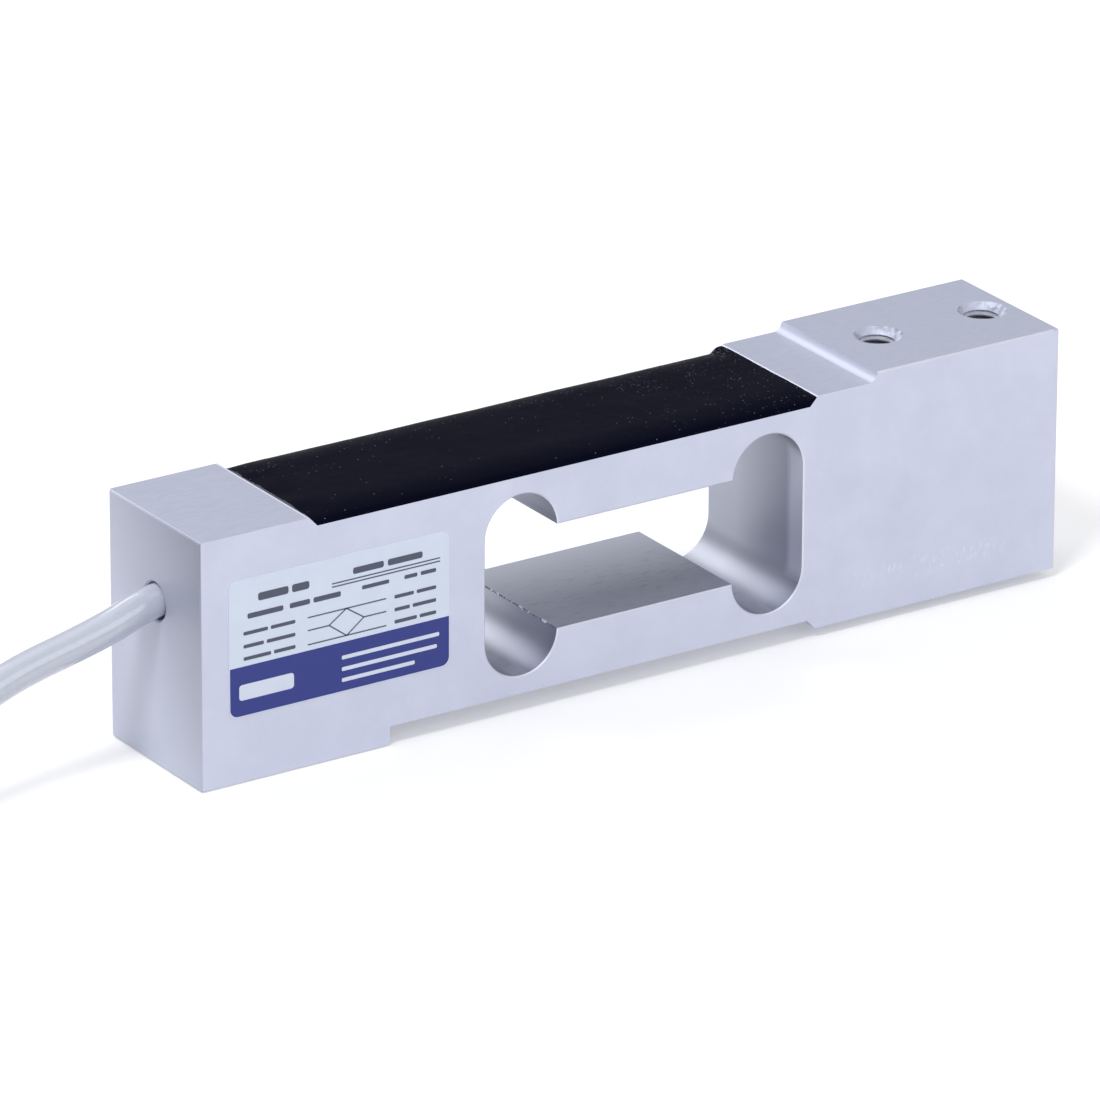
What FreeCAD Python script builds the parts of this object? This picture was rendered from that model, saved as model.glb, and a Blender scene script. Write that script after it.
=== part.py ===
import FreeCAD, Part
import math
import os

# Single point load cell: one aluminium beam milled with a binocular opening, strain gauges bonded
# over its thin sections, a black sealing compound over the gauges, and a six-core screened lead.
# Frame: millimetres, +Z up, origin at the middle of the beam's underside box. The lead leaves
# towards -X, the load platform goes on the pad at +X, and the label is on the -Y side.

V = FreeCAD.Vector
X, Y, Z = V(1, 0, 0), V(0, 1, 0), V(0, 0, 1)
CLOSE = 0.01                   # two places nearer than this are the same

# Beam
BEAM_LENGTH = 150.0
BEAM_WIDTH = 25.0
BEAM_HEIGHT = 40.0
FIXED_PAD_LENGTH = 32.0        # underside pad that bolts to the base
LOAD_PAD_LENGTH = 33.0         # top pad that carries the platform
PAD_STEP = 3.0                 # how far the beam's middle stands back from the fixed pad
END_RELIEF = 1.5               # how far each end's other face stands back from its pad's plane
CHANNEL_DEPTH = 1.5            # gauge channel below the top shelf
CHANNEL_FROM_CABLE_END = 18.3
CHANNEL_PAST_LOBE = 8.65       # from the load-end lobe's middle to the channel's end
RAMP_RUN = 1.4                 # the cutter's slope at each end of a milled step
PAD_CORNER_RADIUS = 1.0
SHELF_FILLET_RADIUS = 1.5
EDGE_BREAK = 0.25

# Binocular opening
LOBE_RADIUS = 6.25
LOBE_SPACING = 43.25
OPENING_OFFSET = 1.125         # how far the opening stands from the beam's middle, to the load end
THIN_SECTION = 2.8             # metal left between a lobe and the face outside it
WINDOW_HEIGHT = 16.4
RIM_BREAK = 0.2

# Fixing holes, two at each end
THREAD_CORE_RADIUS = 2.5
HOLE_DEPTH = 15.0
HOLE_SPACING = 19.0
HOLE_FROM_END = 5.2
COUNTERSINK_RADIUS = 3.75
DRILL_POINT_HALF_ANGLE = 59.0

# Lead entry
CABLE_RADIUS = 2.5
BORE_CLEARANCE = 0.4
BORE_HEIGHT = 25.4
LEAD_LIFT = 0.35               # how far the stiff jacket rides above the bore's middle
BORE_DEPTH = 31.0
PASSAGE_RADIUS = 3.0
JACKET_INSIDE = 17.0           # how far the outer jacket reaches into the beam
SEAL_RECESS = 3.0

# Sealing compound
SEALANT_EDGE_HEIGHT = 0.15
SEALANT_CROWN = 1.4
SEALANT_SHOULDER = 3.5

# Label
LABEL_LENGTH = 37.3
LABEL_HEIGHT = 21.1
LABEL_THICKNESS = 0.1
LABEL_CORNER_RADIUS = 1.3
LABEL_FROM_CABLE_END = 4.7
LABEL_ABOVE_BASE = 10.4

# Gauge circuit
GAUGE_LENGTH = 9.0
GAUGE_WIDTH = 4.6
GAUGE_CARRIER_THICKNESS = 0.1
GAUGE_OFFSET = 7.0             # from the beam's middle line to a gauge's own
GRID_LENGTH = 4.0
GRID_STRAND = 0.25
GRID_STRANDS = 8               # an even number, so that both ends of the foil meet the tabs
FOIL_THICKNESS = 0.05
CARRIER_CORNER = 0.4
TAB_LENGTH = 1.3
TAB_WIDTH = 1.1
BOARD_LENGTH = 20.0
BOARD_WIDTH = 17.5
BOARD_THICKNESS = 0.3
BOARD_CORNER_RADIUS = 1.0
CHIP_LENGTH = 3.2
CHIP_WIDTH = 1.6
CHIP_HEIGHT = 0.6
CHIP_CAP_LENGTH = 0.45
LEAD_WIRE_RADIUS = 0.13
SOLDER_RADIUS = 0.55
BOARD_EDGE_MARGIN = 1.2
PAD_LENGTH = 1.6
PAD_WIDTH = 1.0
BOND_CLEARANCE = 0.02
TAB_SQUEEZE = 0.62             # the board's pads stand closer together than the gauge's tabs
CHIPS = (                      # names, and places from the board's middle
    ("span_resistor_1", -1.5, -4.0),
    ("span_resistor_2", -1.5, 4.0),
    ("zero_balance_resistor", 3.0, 0.0),
)

# Cores of the lead
CORE_COLOURS = ("brown", "black", "white", "green", "red", "blue")
CORE_RADIUS = 0.4
CORE_PITCH = 0.85
PAD_PITCH = 1.8
CORE_BEND_RUN = 4.5
FAN_END_RUN = 4.0

# Free end of the lead
SLEEVE_LENGTH = 14.0
SLEEVE_WALL = 0.4
TAIL_RADIUS = 0.5
TAIL_PITCH = 1.25
TAIL_LENGTH = 25.0
TIP_LENGTH = 6.0
TIP_RADIUS = 0.35
TAIL_STEP = 5.0
TAIL_ORDER = ("tail_core_blue", "tail_core_red", "tail_core_green", "shield_drain",
              "tail_core_white", "tail_core_black", "tail_core_brown")
TAIL_CURL = 0.07               # how much every wire of the fan turns, in radians per mm
TAIL_FAN = 0.15                # and the angle between neighbours where they leave the sleeve

# Coil of spare lead
COIL_RADIUS = 25.7
COIL_FROM_BEAM = 72.8          # from the beam's end face to the coil's middle
COIL_ENTRY_Y = -10.0
COIL_LAYER = 5.15
COIL_WALL = 5.2
UPPER_LAYER_END = 255.0        # degrees round the coil, clockwise from where the lead joins it
INNER_TURN_START = 140.0
INNER_TURN_END = 328.0
TIE_ANGLE = 90.0
TIE_WIDTH = 3.0
TIE_CORNER = 2.0
TIE_TWIST_LENGTH = 7.0
TIE_THICKNESS = 0.5
TIE_CLEARANCE = 0.1

# Levels and places that follow from the sizes above
CABLE_END_X = -BEAM_LENGTH / 2
LOAD_END_X = BEAM_LENGTH / 2
FRONT_Y = -BEAM_WIDTH / 2
BACK_Y = BEAM_WIDTH / 2
FIXED_PAD_END_X = CABLE_END_X + FIXED_PAD_LENGTH
LOAD_PAD_START_X = LOAD_END_X - LOAD_PAD_LENGTH
SHELF_Z = BEAM_HEIGHT - END_RELIEF
CHANNEL_Z = SHELF_Z - CHANNEL_DEPTH
LOBE_XS = (OPENING_OFFSET - LOBE_SPACING / 2, OPENING_OFFSET + LOBE_SPACING / 2)
CHANNEL_START_X = CABLE_END_X + CHANNEL_FROM_CABLE_END
CHANNEL_END_X = LOBE_XS[1] + CHANNEL_PAST_LOBE
LOBE_BOTTOM_Z = PAD_STEP + THIN_SECTION
LOBE_TOP_Z = CHANNEL_Z - THIN_SECTION
MIDDLE_Z = (LOBE_BOTTOM_Z + LOBE_TOP_Z) / 2
FIXED_HOLE_XS = (CABLE_END_X + HOLE_FROM_END, CABLE_END_X + HOLE_FROM_END + HOLE_SPACING)
LOAD_HOLE_XS = (LOAD_END_X - HOLE_FROM_END - HOLE_SPACING, LOAD_END_X - HOLE_FROM_END)
BORE_RADIUS = CABLE_RADIUS + BORE_CLEARANCE
BORE_END_X = CABLE_END_X + BORE_DEPTH
PASSAGE_X = BORE_END_X - PASSAGE_RADIUS
JACKET_END_X = CABLE_END_X + JACKET_INSIDE
BOARD_X = OPENING_OFFSET
BOARD_TOP_Z = CHANNEL_Z + BOARD_THICKNESS + FOIL_THICKNESS
CORE_Z = BOARD_TOP_Z + CORE_RADIUS + BOND_CLEARANCE
GAUGE_TOP_Z = CHANNEL_Z + GAUGE_CARRIER_THICKNESS + FOIL_THICKNESS
COIL_X = CABLE_END_X - COIL_FROM_BEAM
COIL_CENTRE = V(COIL_X, COIL_ENTRY_Y + COIL_RADIUS, 0)
INNER_TURN_RADIUS = COIL_RADIUS - COIL_WALL / 2 - CABLE_RADIUS - SLEEVE_WALL - TIE_CLEARANCE
LOWER_LAYER_Z = CABLE_RADIUS + 0.1
UPPER_LAYER_Z = LOWER_LAYER_Z + COIL_LAYER

# The lead's route from inside the beam to the coil, chosen by hand
LEAD_ROUTE = [
    V(JACKET_END_X, 0, BORE_HEIGHT + LEAD_LIFT),
    V(CABLE_END_X + 0.5, 0, BORE_HEIGHT + LEAD_LIFT),
    V(CABLE_END_X - 16, -0.4, 22.1),
    V(CABLE_END_X - 31, -2.2, 19.4),
    V(CABLE_END_X - 46, -6.4, 11.8),
    V(CABLE_END_X - 62, COIL_ENTRY_Y, UPPER_LAYER_Z),
    V(COIL_X, COIL_ENTRY_Y, UPPER_LAYER_Z),
]


# ---- shared shapes ----

def block(x0, x1, y0, y1, z0, z1):
    return Part.makeBox(x1 - x0, y1 - y0, z1 - z0, V(x0, y0, z0))


def extruded(points, direction):
    """A prism from a closed outline; a point given as a pair is an arc's middle and its end."""
    edges = []
    here = points[0]
    for step in points[1:] + [points[0]]:
        if isinstance(step, tuple):
            edges.append(Part.Arc(here, step[0], step[1]).toShape())
            here = step[1]
        elif (step - here).Length > CLOSE:
            edges.append(Part.LineSegment(here, step).toShape())
            here = step
    return Part.Face(Part.Wire(edges)).extrude(direction)


def edges_along(solid, direction):
    return [e for e in solid.Edges if e.tangentAt(e.FirstParameter).cross(direction).Length < CLOSE]


def plate(centre, length, width, thickness, corner):
    """A thin plate lying flat, centred on its underside, with rounded corners."""
    solid = block(-length / 2, length / 2, -width / 2, width / 2, 0, thickness)
    solid = solid.makeFillet(corner, edges_along(solid, Z))
    solid.translate(centre)
    return solid


def blind_hole(mouth, inwards, radius, depth):
    """A drilled hole with the cone that the drill's point leaves."""
    point = radius / math.tan(math.radians(DRILL_POINT_HALF_ANGLE))
    straight = Part.makeCylinder(radius, depth, mouth, inwards)
    return straight.fuse(Part.makeCone(radius, 0, point, mouth + inwards * depth, inwards))


def route_edges(points):
    """Straight runs joined by tangent arcs, each as large as its two runs allow."""
    edges, radii = [], []
    here = points[0]
    for before, corner, after in zip(points, points[1:], points[2:]):
        arrive, leave = corner - before, after - corner
        tangent = 0.45 * min(arrive.Length, leave.Length)
        arrive.normalize()
        leave.normalize()
        half_turn = arrive.getAngle(leave) / 2
        radius = tangent / math.tan(half_turn)
        inwards = leave - arrive
        inwards.normalize()
        start, end = corner - arrive * tangent, corner + leave * tangent
        middle = corner + inwards * (radius * (1 / math.cos(half_turn) - 1))
        edges.append(Part.LineSegment(here, start).toShape())
        edges.append(Part.Arc(start, middle, end).toShape())
        radii.append(radius)
        here = end
    edges.append(Part.LineSegment(here, points[-1]).toShape())
    return edges, radii


def round_section(centre, direction, radius):
    return Part.Wire([Part.makeCircle(radius, centre, direction)])


def pipe(points, radius):
    """A round solid along a route; its volume is its section times the route's length."""
    edges, radii = route_edges(points)
    start = points[1] - points[0]
    solid = Part.Wire(edges).makePipeShell([round_section(points[0], start, radius)], True, False)
    if solid.Volume < 0:
        solid.reverse()
    length = sum(e.Length for e in edges)
    return solid, length, radii


def group(solids):
    return Part.makeCompound(solids)


# ---- the beam ----

def beam_blank():
    """The side outline milled all round, before anything is drilled or bored through it."""
    turn = math.sqrt(0.5)
    pad, fillet = PAD_CORNER_RADIUS, SHELF_FILLET_RADIUS
    outline = [
        V(CABLE_END_X, FRONT_Y, 0),
        V(FIXED_PAD_END_X - pad, FRONT_Y, 0),
        (V(FIXED_PAD_END_X - pad + pad * turn, FRONT_Y, pad - pad * turn),
         V(FIXED_PAD_END_X, FRONT_Y, pad)),
        V(FIXED_PAD_END_X, FRONT_Y, PAD_STEP),
        V(CHANNEL_END_X - RAMP_RUN, FRONT_Y, PAD_STEP),
        V(CHANNEL_END_X, FRONT_Y, END_RELIEF),
        V(LOAD_END_X, FRONT_Y, END_RELIEF),
        V(LOAD_END_X, FRONT_Y, BEAM_HEIGHT),
        V(LOAD_PAD_START_X, FRONT_Y, BEAM_HEIGHT),
        V(LOAD_PAD_START_X, FRONT_Y, SHELF_Z + fillet),
        (V(LOAD_PAD_START_X - fillet + fillet * turn, FRONT_Y, SHELF_Z + fillet - fillet * turn),
         V(LOAD_PAD_START_X - fillet, FRONT_Y, SHELF_Z)),
        V(CHANNEL_END_X, FRONT_Y, SHELF_Z),
        V(CHANNEL_END_X - RAMP_RUN, FRONT_Y, CHANNEL_Z),
        V(CHANNEL_START_X + RAMP_RUN, FRONT_Y, CHANNEL_Z),
        V(CHANNEL_START_X, FRONT_Y, SHELF_Z),
        V(CABLE_END_X, FRONT_Y, SHELF_Z),
    ]
    return extruded(outline, Y * BEAM_WIDTH)


def break_end_edges(solid):
    """A small chamfer round both end faces and along the two bolting pads' long edges."""
    def wanted(edge):
        box = edge.BoundBox
        from_end = min(abs(box.XMin - CABLE_END_X), abs(box.XMax - LOAD_END_X))
        from_pad = min(abs(box.ZMin), abs(box.ZMax - BEAM_HEIGHT))
        round_end = from_end + box.XLength < CLOSE
        along_pad = from_pad + box.ZLength < CLOSE and box.XLength > FIXED_PAD_LENGTH / 2
        return round_end or along_pad
    return solid.makeChamfer(EDGE_BREAK, [e for e in solid.Edges if wanted(e)])


def lobe(x):
    """One upright slot of the binocular opening, right through the beam."""
    r = LOBE_RADIUS
    low, high = LOBE_BOTTOM_Z + r, LOBE_TOP_Z - r
    outline = [
        V(x - r, FRONT_Y, low),
        (V(x, FRONT_Y, low - r), V(x + r, FRONT_Y, low)),
        V(x + r, FRONT_Y, high),
        (V(x, FRONT_Y, high + r), V(x - r, FRONT_Y, high)),
    ]
    return extruded(outline, Y * BEAM_WIDTH)


def binocular_opening():
    low, high = MIDDLE_Z - WINDOW_HEIGHT / 2, MIDDLE_Z + WINDOW_HEIGHT / 2
    window = block(LOBE_XS[0], LOBE_XS[1], FRONT_Y, BACK_Y, low, high)
    return lobe(LOBE_XS[0]).fuse(window).fuse(lobe(LOBE_XS[1])).removeSplitter()


def break_opening_rim(solid):
    """A small chamfer on the opening's edge at both faces."""
    left, right = LOBE_XS[0] - LOBE_RADIUS - CLOSE, LOBE_XS[1] + LOBE_RADIUS + CLOSE
    low, high = LOBE_BOTTOM_Z - CLOSE, LOBE_TOP_Z + CLOSE

    def wanted(edge):
        box = edge.BoundBox
        from_face = min(abs(box.YMin - FRONT_Y), abs(box.YMax - BACK_Y))
        inside = box.XMin > left and box.XMax < right and box.ZMin > low and box.ZMax < high
        return from_face + box.YLength < CLOSE and inside
    return solid.makeChamfer(RIM_BREAK, [e for e in solid.Edges if wanted(e)])


def fixing_hole(x, mouth_z, inwards):
    """Tapping hole for an M6 screw, with its countersink."""
    depth = COUNTERSINK_RADIUS - THREAD_CORE_RADIUS
    mouth = V(x, 0, mouth_z)
    sink = Part.makeCone(COUNTERSINK_RADIUS, THREAD_CORE_RADIUS, depth, mouth, inwards)
    return blind_hole(mouth, inwards, THREAD_CORE_RADIUS, HOLE_DEPTH).fuse(sink)


def lead_entry():
    """The bore from the end face, its broken mouth, and the passage up to the gauge channel."""
    mouth = V(CABLE_END_X, 0, BORE_HEIGHT)
    bore = blind_hole(mouth, X, BORE_RADIUS, BORE_DEPTH)
    lip = Part.makeCone(BORE_RADIUS + EDGE_BREAK, BORE_RADIUS, EDGE_BREAK, mouth, X)
    passage = Part.makeCylinder(PASSAGE_RADIUS, CHANNEL_Z - BORE_HEIGHT, V(PASSAGE_X, 0, BORE_HEIGHT), Z)
    return bore.fuse(lip).fuse(passage)


def spring_element():
    solid = break_end_edges(beam_blank())
    solid = break_opening_rim(solid.cut(binocular_opening()))
    for x in FIXED_HOLE_XS:
        solid = solid.cut(fixing_hole(x, 0, Z))
    for x in LOAD_HOLE_XS:
        solid = solid.cut(fixing_hole(x, BEAM_HEIGHT, -Z))
    return solid.cut(lead_entry())


# ---- the gauge circuit under the sealing compound ----

def foil_grid():
    """The gauge's zigzag of foil with its two solder tabs, lying on z = 0."""
    pitch = 2 * GRID_STRAND
    half = GRID_LENGTH / 2
    outer_y = (GRID_STRANDS - 1) * pitch / 2
    foil = []
    for k in range(GRID_STRANDS):
        y = k * pitch - outer_y
        foil.append(block(-half, half, y - GRID_STRAND / 2, y + GRID_STRAND / 2, 0, FOIL_THICKNESS))
        if k:
            x0 = -half if k % 2 else half - pitch
            foil.append(block(x0, x0 + pitch, y - pitch, y, 0, FOIL_THICKNESS))
    tab_end = GAUGE_LENGTH / 2 - GRID_STRAND
    edge_y = outer_y + GRID_STRAND / 2
    for side in (-1, 1):
        for start, width in ((half - GRID_STRAND, GRID_STRAND), (tab_end - TAB_LENGTH, TAB_WIDTH)):
            y0, y1 = sorted((side * edge_y, side * (edge_y - width)))
            foil.append(block(start, tab_end, y0, y1, 0, FOIL_THICKNESS))
    return foil[0].multiFuse(foil[1:])


def facing(solid, towards):
    """The same solid, turned half round when it faces the cable end."""
    if towards < 0:
        solid.rotate(V(0, 0, 0), Z, 180)
    return solid


def strain_gauge(x, y, tabs_towards):
    """Foil grid and two solder tabs on a polyimide carrier, bonded over a thin section."""
    carrier = plate(V(0, 0, 0), GAUGE_LENGTH, GAUGE_WIDTH, GAUGE_CARRIER_THICKNESS, CARRIER_CORNER)
    foil = foil_grid()
    foil.translate(V(0, 0, GAUGE_CARRIER_THICKNESS))
    gauge = facing(carrier.fuse(foil).removeSplitter(), tabs_towards)
    gauge.translate(V(x, y, CHANNEL_Z))
    return gauge


def gauge_places():
    """Two gauges side by side over each lobe, their tabs turned towards the terminal board."""
    return [(x, y, 1 if x < BOARD_X else -1) for x in LOBE_XS for y in (-GAUGE_OFFSET, GAUGE_OFFSET)]


def core_pad_places():
    """Where the six cores are soldered, along the board's edge nearest the passage."""
    x = BOARD_X - BOARD_LENGTH / 2 + BOARD_EDGE_MARGIN
    middle = (len(CORE_COLOURS) - 1) / 2
    return [V(x, (k - middle) * PAD_PITCH, BOARD_TOP_Z) for k in range(len(CORE_COLOURS))]


def gauge_tab_places():
    """The middle of each gauge's two solder tabs, and the place on the board that each is wired to."""
    outer_y = (GRID_STRANDS - 1) * GRID_STRAND + GRID_STRAND / 2 - TAB_WIDTH / 2
    tab_x = GAUGE_LENGTH / 2 - GRID_STRAND - TAB_LENGTH / 2
    places = []
    for x, y, towards in gauge_places():
        board_x = BOARD_X - towards * (BOARD_LENGTH / 2 - BOARD_EDGE_MARGIN)
        for side in (-1, 1):
            places.append((V(x + towards * tab_x, y + side * outer_y, GAUGE_TOP_Z),
                           V(board_x, y + side * outer_y * TAB_SQUEEZE, BOARD_TOP_Z)))
    return places


def terminal_board():
    """A thin printed board bonded to the channel floor, with a copper pad under each joint."""
    board = plate(V(BOARD_X, 0, CHANNEL_Z), BOARD_LENGTH, BOARD_WIDTH, BOARD_THICKNESS, BOARD_CORNER_RADIUS)
    pads = []
    for place in core_pad_places() + [board_end for _, board_end in gauge_tab_places()]:
        pads.append(block(place.x - PAD_LENGTH / 2, place.x + PAD_LENGTH / 2, place.y - PAD_WIDTH / 2,
                          place.y + PAD_WIDTH / 2, BOARD_TOP_Z - FOIL_THICKNESS, BOARD_TOP_Z))
    return board.multiFuse(pads).removeSplitter()


def chip_resistor(x, y):
    """A chip resistor on the board, with a tinned cap at each end standing a little proud."""
    cap = CHIP_CAP_LENGTH
    body = block(x - CHIP_LENGTH / 2 + cap, x + CHIP_LENGTH / 2 - cap, y - CHIP_WIDTH / 2 + FOIL_THICKNESS,
                 y + CHIP_WIDTH / 2 - FOIL_THICKNESS, 0, CHIP_HEIGHT - FOIL_THICKNESS)
    caps = [block(x0, x0 + cap, y - CHIP_WIDTH / 2, y + CHIP_WIDTH / 2, 0, CHIP_HEIGHT)
            for x0 in (x - CHIP_LENGTH / 2, x + CHIP_LENGTH / 2 - cap)]
    chip = body.multiFuse(caps).removeSplitter()
    chip.translate(V(0, 0, BOARD_TOP_Z - FOIL_THICKNESS))
    return chip


def nickel_compensator():
    """A nickel foil resistor bonded to the metal, which follows the beam's temperature."""
    x = (BOARD_X + BOARD_LENGTH / 2 + CHANNEL_END_X - RAMP_RUN) / 2
    carrier = plate(V(0, 0, 0), GAUGE_LENGTH, GAUGE_WIDTH, GAUGE_CARRIER_THICKNESS, CARRIER_CORNER)
    foil = foil_grid()
    foil.translate(V(0, 0, GAUGE_CARRIER_THICKNESS))
    solid = facing(carrier.fuse(foil).removeSplitter(), -1)
    solid.translate(V(x, 0, CHANNEL_Z))
    return solid


def lead_wires():
    """Fine wires from each gauge's tabs up to the board."""
    wires = []
    for tab, pad in gauge_tab_places():
        lift = V(0, 0, LEAD_WIRE_RADIUS + BOND_CLEARANCE)
        start, end = tab + lift, pad + lift
        wires.append(Part.makeCylinder(LEAD_WIRE_RADIUS, (end - start).Length, start, end - start))
    return wires


def solder_joints():
    """A bead of solder at the end of each core, on its own pad."""
    beads = []
    for pad in core_pad_places():
        place = pad + X * SOLDER_RADIUS
        bead = Part.makeSphere(SOLDER_RADIUS, place)
        above = block(place.x, place.x + SOLDER_RADIUS, place.y - SOLDER_RADIUS, place.y + SOLDER_RADIUS,
                      BOARD_TOP_Z, BOARD_TOP_Z + SOLDER_RADIUS)
        beads.append(bead.common(above))
    return beads


# ---- the lead inside the beam ----

def inner_core(k):
    """One core, from the stripped jacket up through the passage and along to its solder pad."""
    y = (k - (len(CORE_COLOURS) - 1) / 2) * CORE_PITCH
    pad = core_pad_places()[k]
    route = [
        V(JACKET_END_X, y, BORE_HEIGHT),
        V(PASSAGE_X, y, BORE_HEIGHT),
        V(PASSAGE_X, y, CORE_Z),
        V(PASSAGE_X + CORE_BEND_RUN, y, CORE_Z),
        V(pad.x - FAN_END_RUN, pad.y, CORE_Z),
        V(pad.x + SOLDER_RADIUS, pad.y, CORE_Z),
    ]
    return pipe(route, CORE_RADIUS)[0]


def potted(solid, held):
    """What is left of a poured compound round the pieces that it holds."""
    return solid.cut(held)


def cable_seal(cores, jacket):
    """Sealing compound in the bore and the passage, round the jacket and the six cores."""
    start_x = CABLE_END_X + SEAL_RECESS
    bore = blind_hole(V(CABLE_END_X, 0, BORE_HEIGHT), X, BORE_RADIUS, BORE_DEPTH)
    bore = bore.cut(block(CABLE_END_X, start_x, -BEAM_WIDTH, BEAM_WIDTH, 0, BEAM_HEIGHT))
    passage = Part.makeCylinder(PASSAGE_RADIUS, CHANNEL_Z - BORE_HEIGHT, V(PASSAGE_X, 0, BORE_HEIGHT), Z)
    return potted(bore.fuse(passage), cores + [jacket])


def sealant_cover(held):
    """The black compound that fills the gauge channel, crowned over its middle."""
    trough = extruded([
        V(CHANNEL_START_X, FRONT_Y, SHELF_Z),
        V(CHANNEL_START_X + RAMP_RUN, FRONT_Y, CHANNEL_Z),
        V(CHANNEL_END_X - RAMP_RUN, FRONT_Y, CHANNEL_Z),
        V(CHANNEL_END_X, FRONT_Y, SHELF_Z),
    ], Y * BEAM_WIDTH)
    crown_z = CHANNEL_Z + SEALANT_CROWN
    edge_z = CHANNEL_Z + SEALANT_EDGE_HEIGHT
    rise = crown_z - edge_z
    radius = (SEALANT_SHOULDER ** 2 + rise ** 2) / (2 * rise)
    half_angle = math.asin(SEALANT_SHOULDER / radius) / 2
    along, down = radius * math.sin(half_angle), radius * (1 - math.cos(half_angle))
    shoulder = BACK_Y - SEALANT_SHOULDER
    x = CHANNEL_START_X
    dome = extruded([
        V(x, FRONT_Y, CHANNEL_Z),
        V(x, FRONT_Y, edge_z),
        (V(x, -shoulder - along, crown_z - down), V(x, -shoulder, crown_z)),
        V(x, shoulder, crown_z),
        (V(x, shoulder + along, crown_z - down), V(x, BACK_Y, edge_z)),
        V(x, BACK_Y, CHANNEL_Z),
    ], X * (CHANNEL_END_X - CHANNEL_START_X))
    return potted(trough.common(dome), held)


# ---- the label ----

def label():
    """A thin adhesive plate on the front face, near the cable end."""
    solid = plate(V(0, 0, 0), LABEL_LENGTH, LABEL_HEIGHT, LABEL_THICKNESS, LABEL_CORNER_RADIUS)
    solid.rotate(V(0, 0, 0), X, 90)
    solid.translate(V(CABLE_END_X + LABEL_FROM_CABLE_END + LABEL_LENGTH / 2, FRONT_Y,
                      LABEL_ABOVE_BASE + LABEL_HEIGHT / 2))
    return solid


# ---- the lead outside the beam ----

def heading_on_coil(turned):
    """Which way the lead runs at a place on the coil, in radians from +X."""
    return math.radians(180 - turned)


def on_coil(radius, turned, z):
    """A place on the coil, clockwise from where the lead joins it."""
    heading = heading_on_coil(turned)
    return COIL_CENTRE + V(-radius * math.sin(heading), radius * math.cos(heading), z)


def coil_band(radius, wall, start, end, low, high):
    """Part of a ring of rectangular section round the coil's centre, with rounded edges."""
    section = block(radius - wall / 2, radius + wall / 2, 0, 1, low, high).Faces[2]
    section.translate(COIL_CENTRE)
    section.rotate(COIL_CENTRE, Z, -90 - start)
    return section.revolve(COIL_CENTRE, -Z, end - start)


def tie_space(grow, width):
    """The block round both layers of the coil at the tie, larger than them by a given amount."""
    low, high = -grow, UPPER_LAYER_Z + COIL_WALL / 2 + grow
    reach = COIL_WALL / 2 + grow
    space = block(COIL_RADIUS - reach, COIL_RADIUS + reach, -width / 2, width / 2, low, high)
    space = space.makeFillet(TIE_CORNER + grow, edges_along(space, Y))
    space.translate(COIL_CENTRE + V(0, 0, TIE_THICKNESS + TIE_CLEARANCE))
    space.rotate(COIL_CENTRE, Z, -90 - TIE_ANGLE)
    return space


def coil_tie():
    """A flat tie bent once round both layers, its two ends twisted together inside the coil."""
    outer = tie_space(TIE_CLEARANCE + TIE_THICKNESS, TIE_WIDTH)
    inner = tie_space(TIE_CLEARANCE, TIE_WIDTH + 1)
    end_x = COIL_RADIUS - COIL_WALL / 2 - TIE_CLEARANCE - TIE_THICKNESS / 2
    ends = Part.makeCylinder(TIE_THICKNESS, TIE_TWIST_LENGTH, V(end_x, 0, UPPER_LAYER_Z), -X)
    ends.translate(COIL_CENTRE)
    ends.rotate(COIL_CENTRE, Z, -90 - TIE_ANGLE)
    return outer.cut(inner).fuse(ends).removeSplitter()


def cable_coil():
    """The outer shape of the spare lead's turns: two layers, and an inner turn on the floor."""
    low, seam, high = 0, LOWER_LAYER_Z + COIL_LAYER / 2, UPPER_LAYER_Z + COIL_WALL / 2
    lower = coil_band(COIL_RADIUS, COIL_WALL, 0, 360, low, seam)
    upper = coil_band(COIL_RADIUS, COIL_WALL, 0, UPPER_LAYER_END, seam, high)
    inner_edge = INNER_TURN_RADIUS - CABLE_RADIUS
    wall = COIL_RADIUS - COIL_WALL / 2 - inner_edge
    inner = coil_band(inner_edge + wall / 2, wall, INNER_TURN_START, INNER_TURN_END, low, seam)
    coil = lower.fuse(upper).fuse(inner).removeSplitter()
    under = tie_space(TIE_CLEARANCE + TIE_THICKNESS, TIE_WIDTH)
    return coil.cut(under.cut(tie_space(0, TIE_WIDTH + 1)))


def end_sleeve():
    """Heat-shrink sleeve over the jacket's end, lying on the floor inside the coil."""
    radius = CABLE_RADIUS + SLEEVE_WALL
    turned = math.degrees(SLEEVE_LENGTH / INNER_TURN_RADIUS)
    start = on_coil(INNER_TURN_RADIUS, INNER_TURN_END, radius)
    heading = heading_on_coil(INNER_TURN_END)
    face = Part.Face(round_section(start, V(math.cos(heading), math.sin(heading), 0), radius))
    return face.revolve(COIL_CENTRE, -Z, turned)


def bundle_offsets():
    """The wires side by side in the sleeve: one in the middle and the rest round it, inner ones first."""
    around = len(TAIL_ORDER) - 1
    turns = [math.tau * k / around for k in range(around)]
    ring = [(TAIL_PITCH * math.cos(turn), TAIL_PITCH * math.sin(turn)) for turn in turns]
    return sorted([(0.0, 0.0)] + ring)


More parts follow.
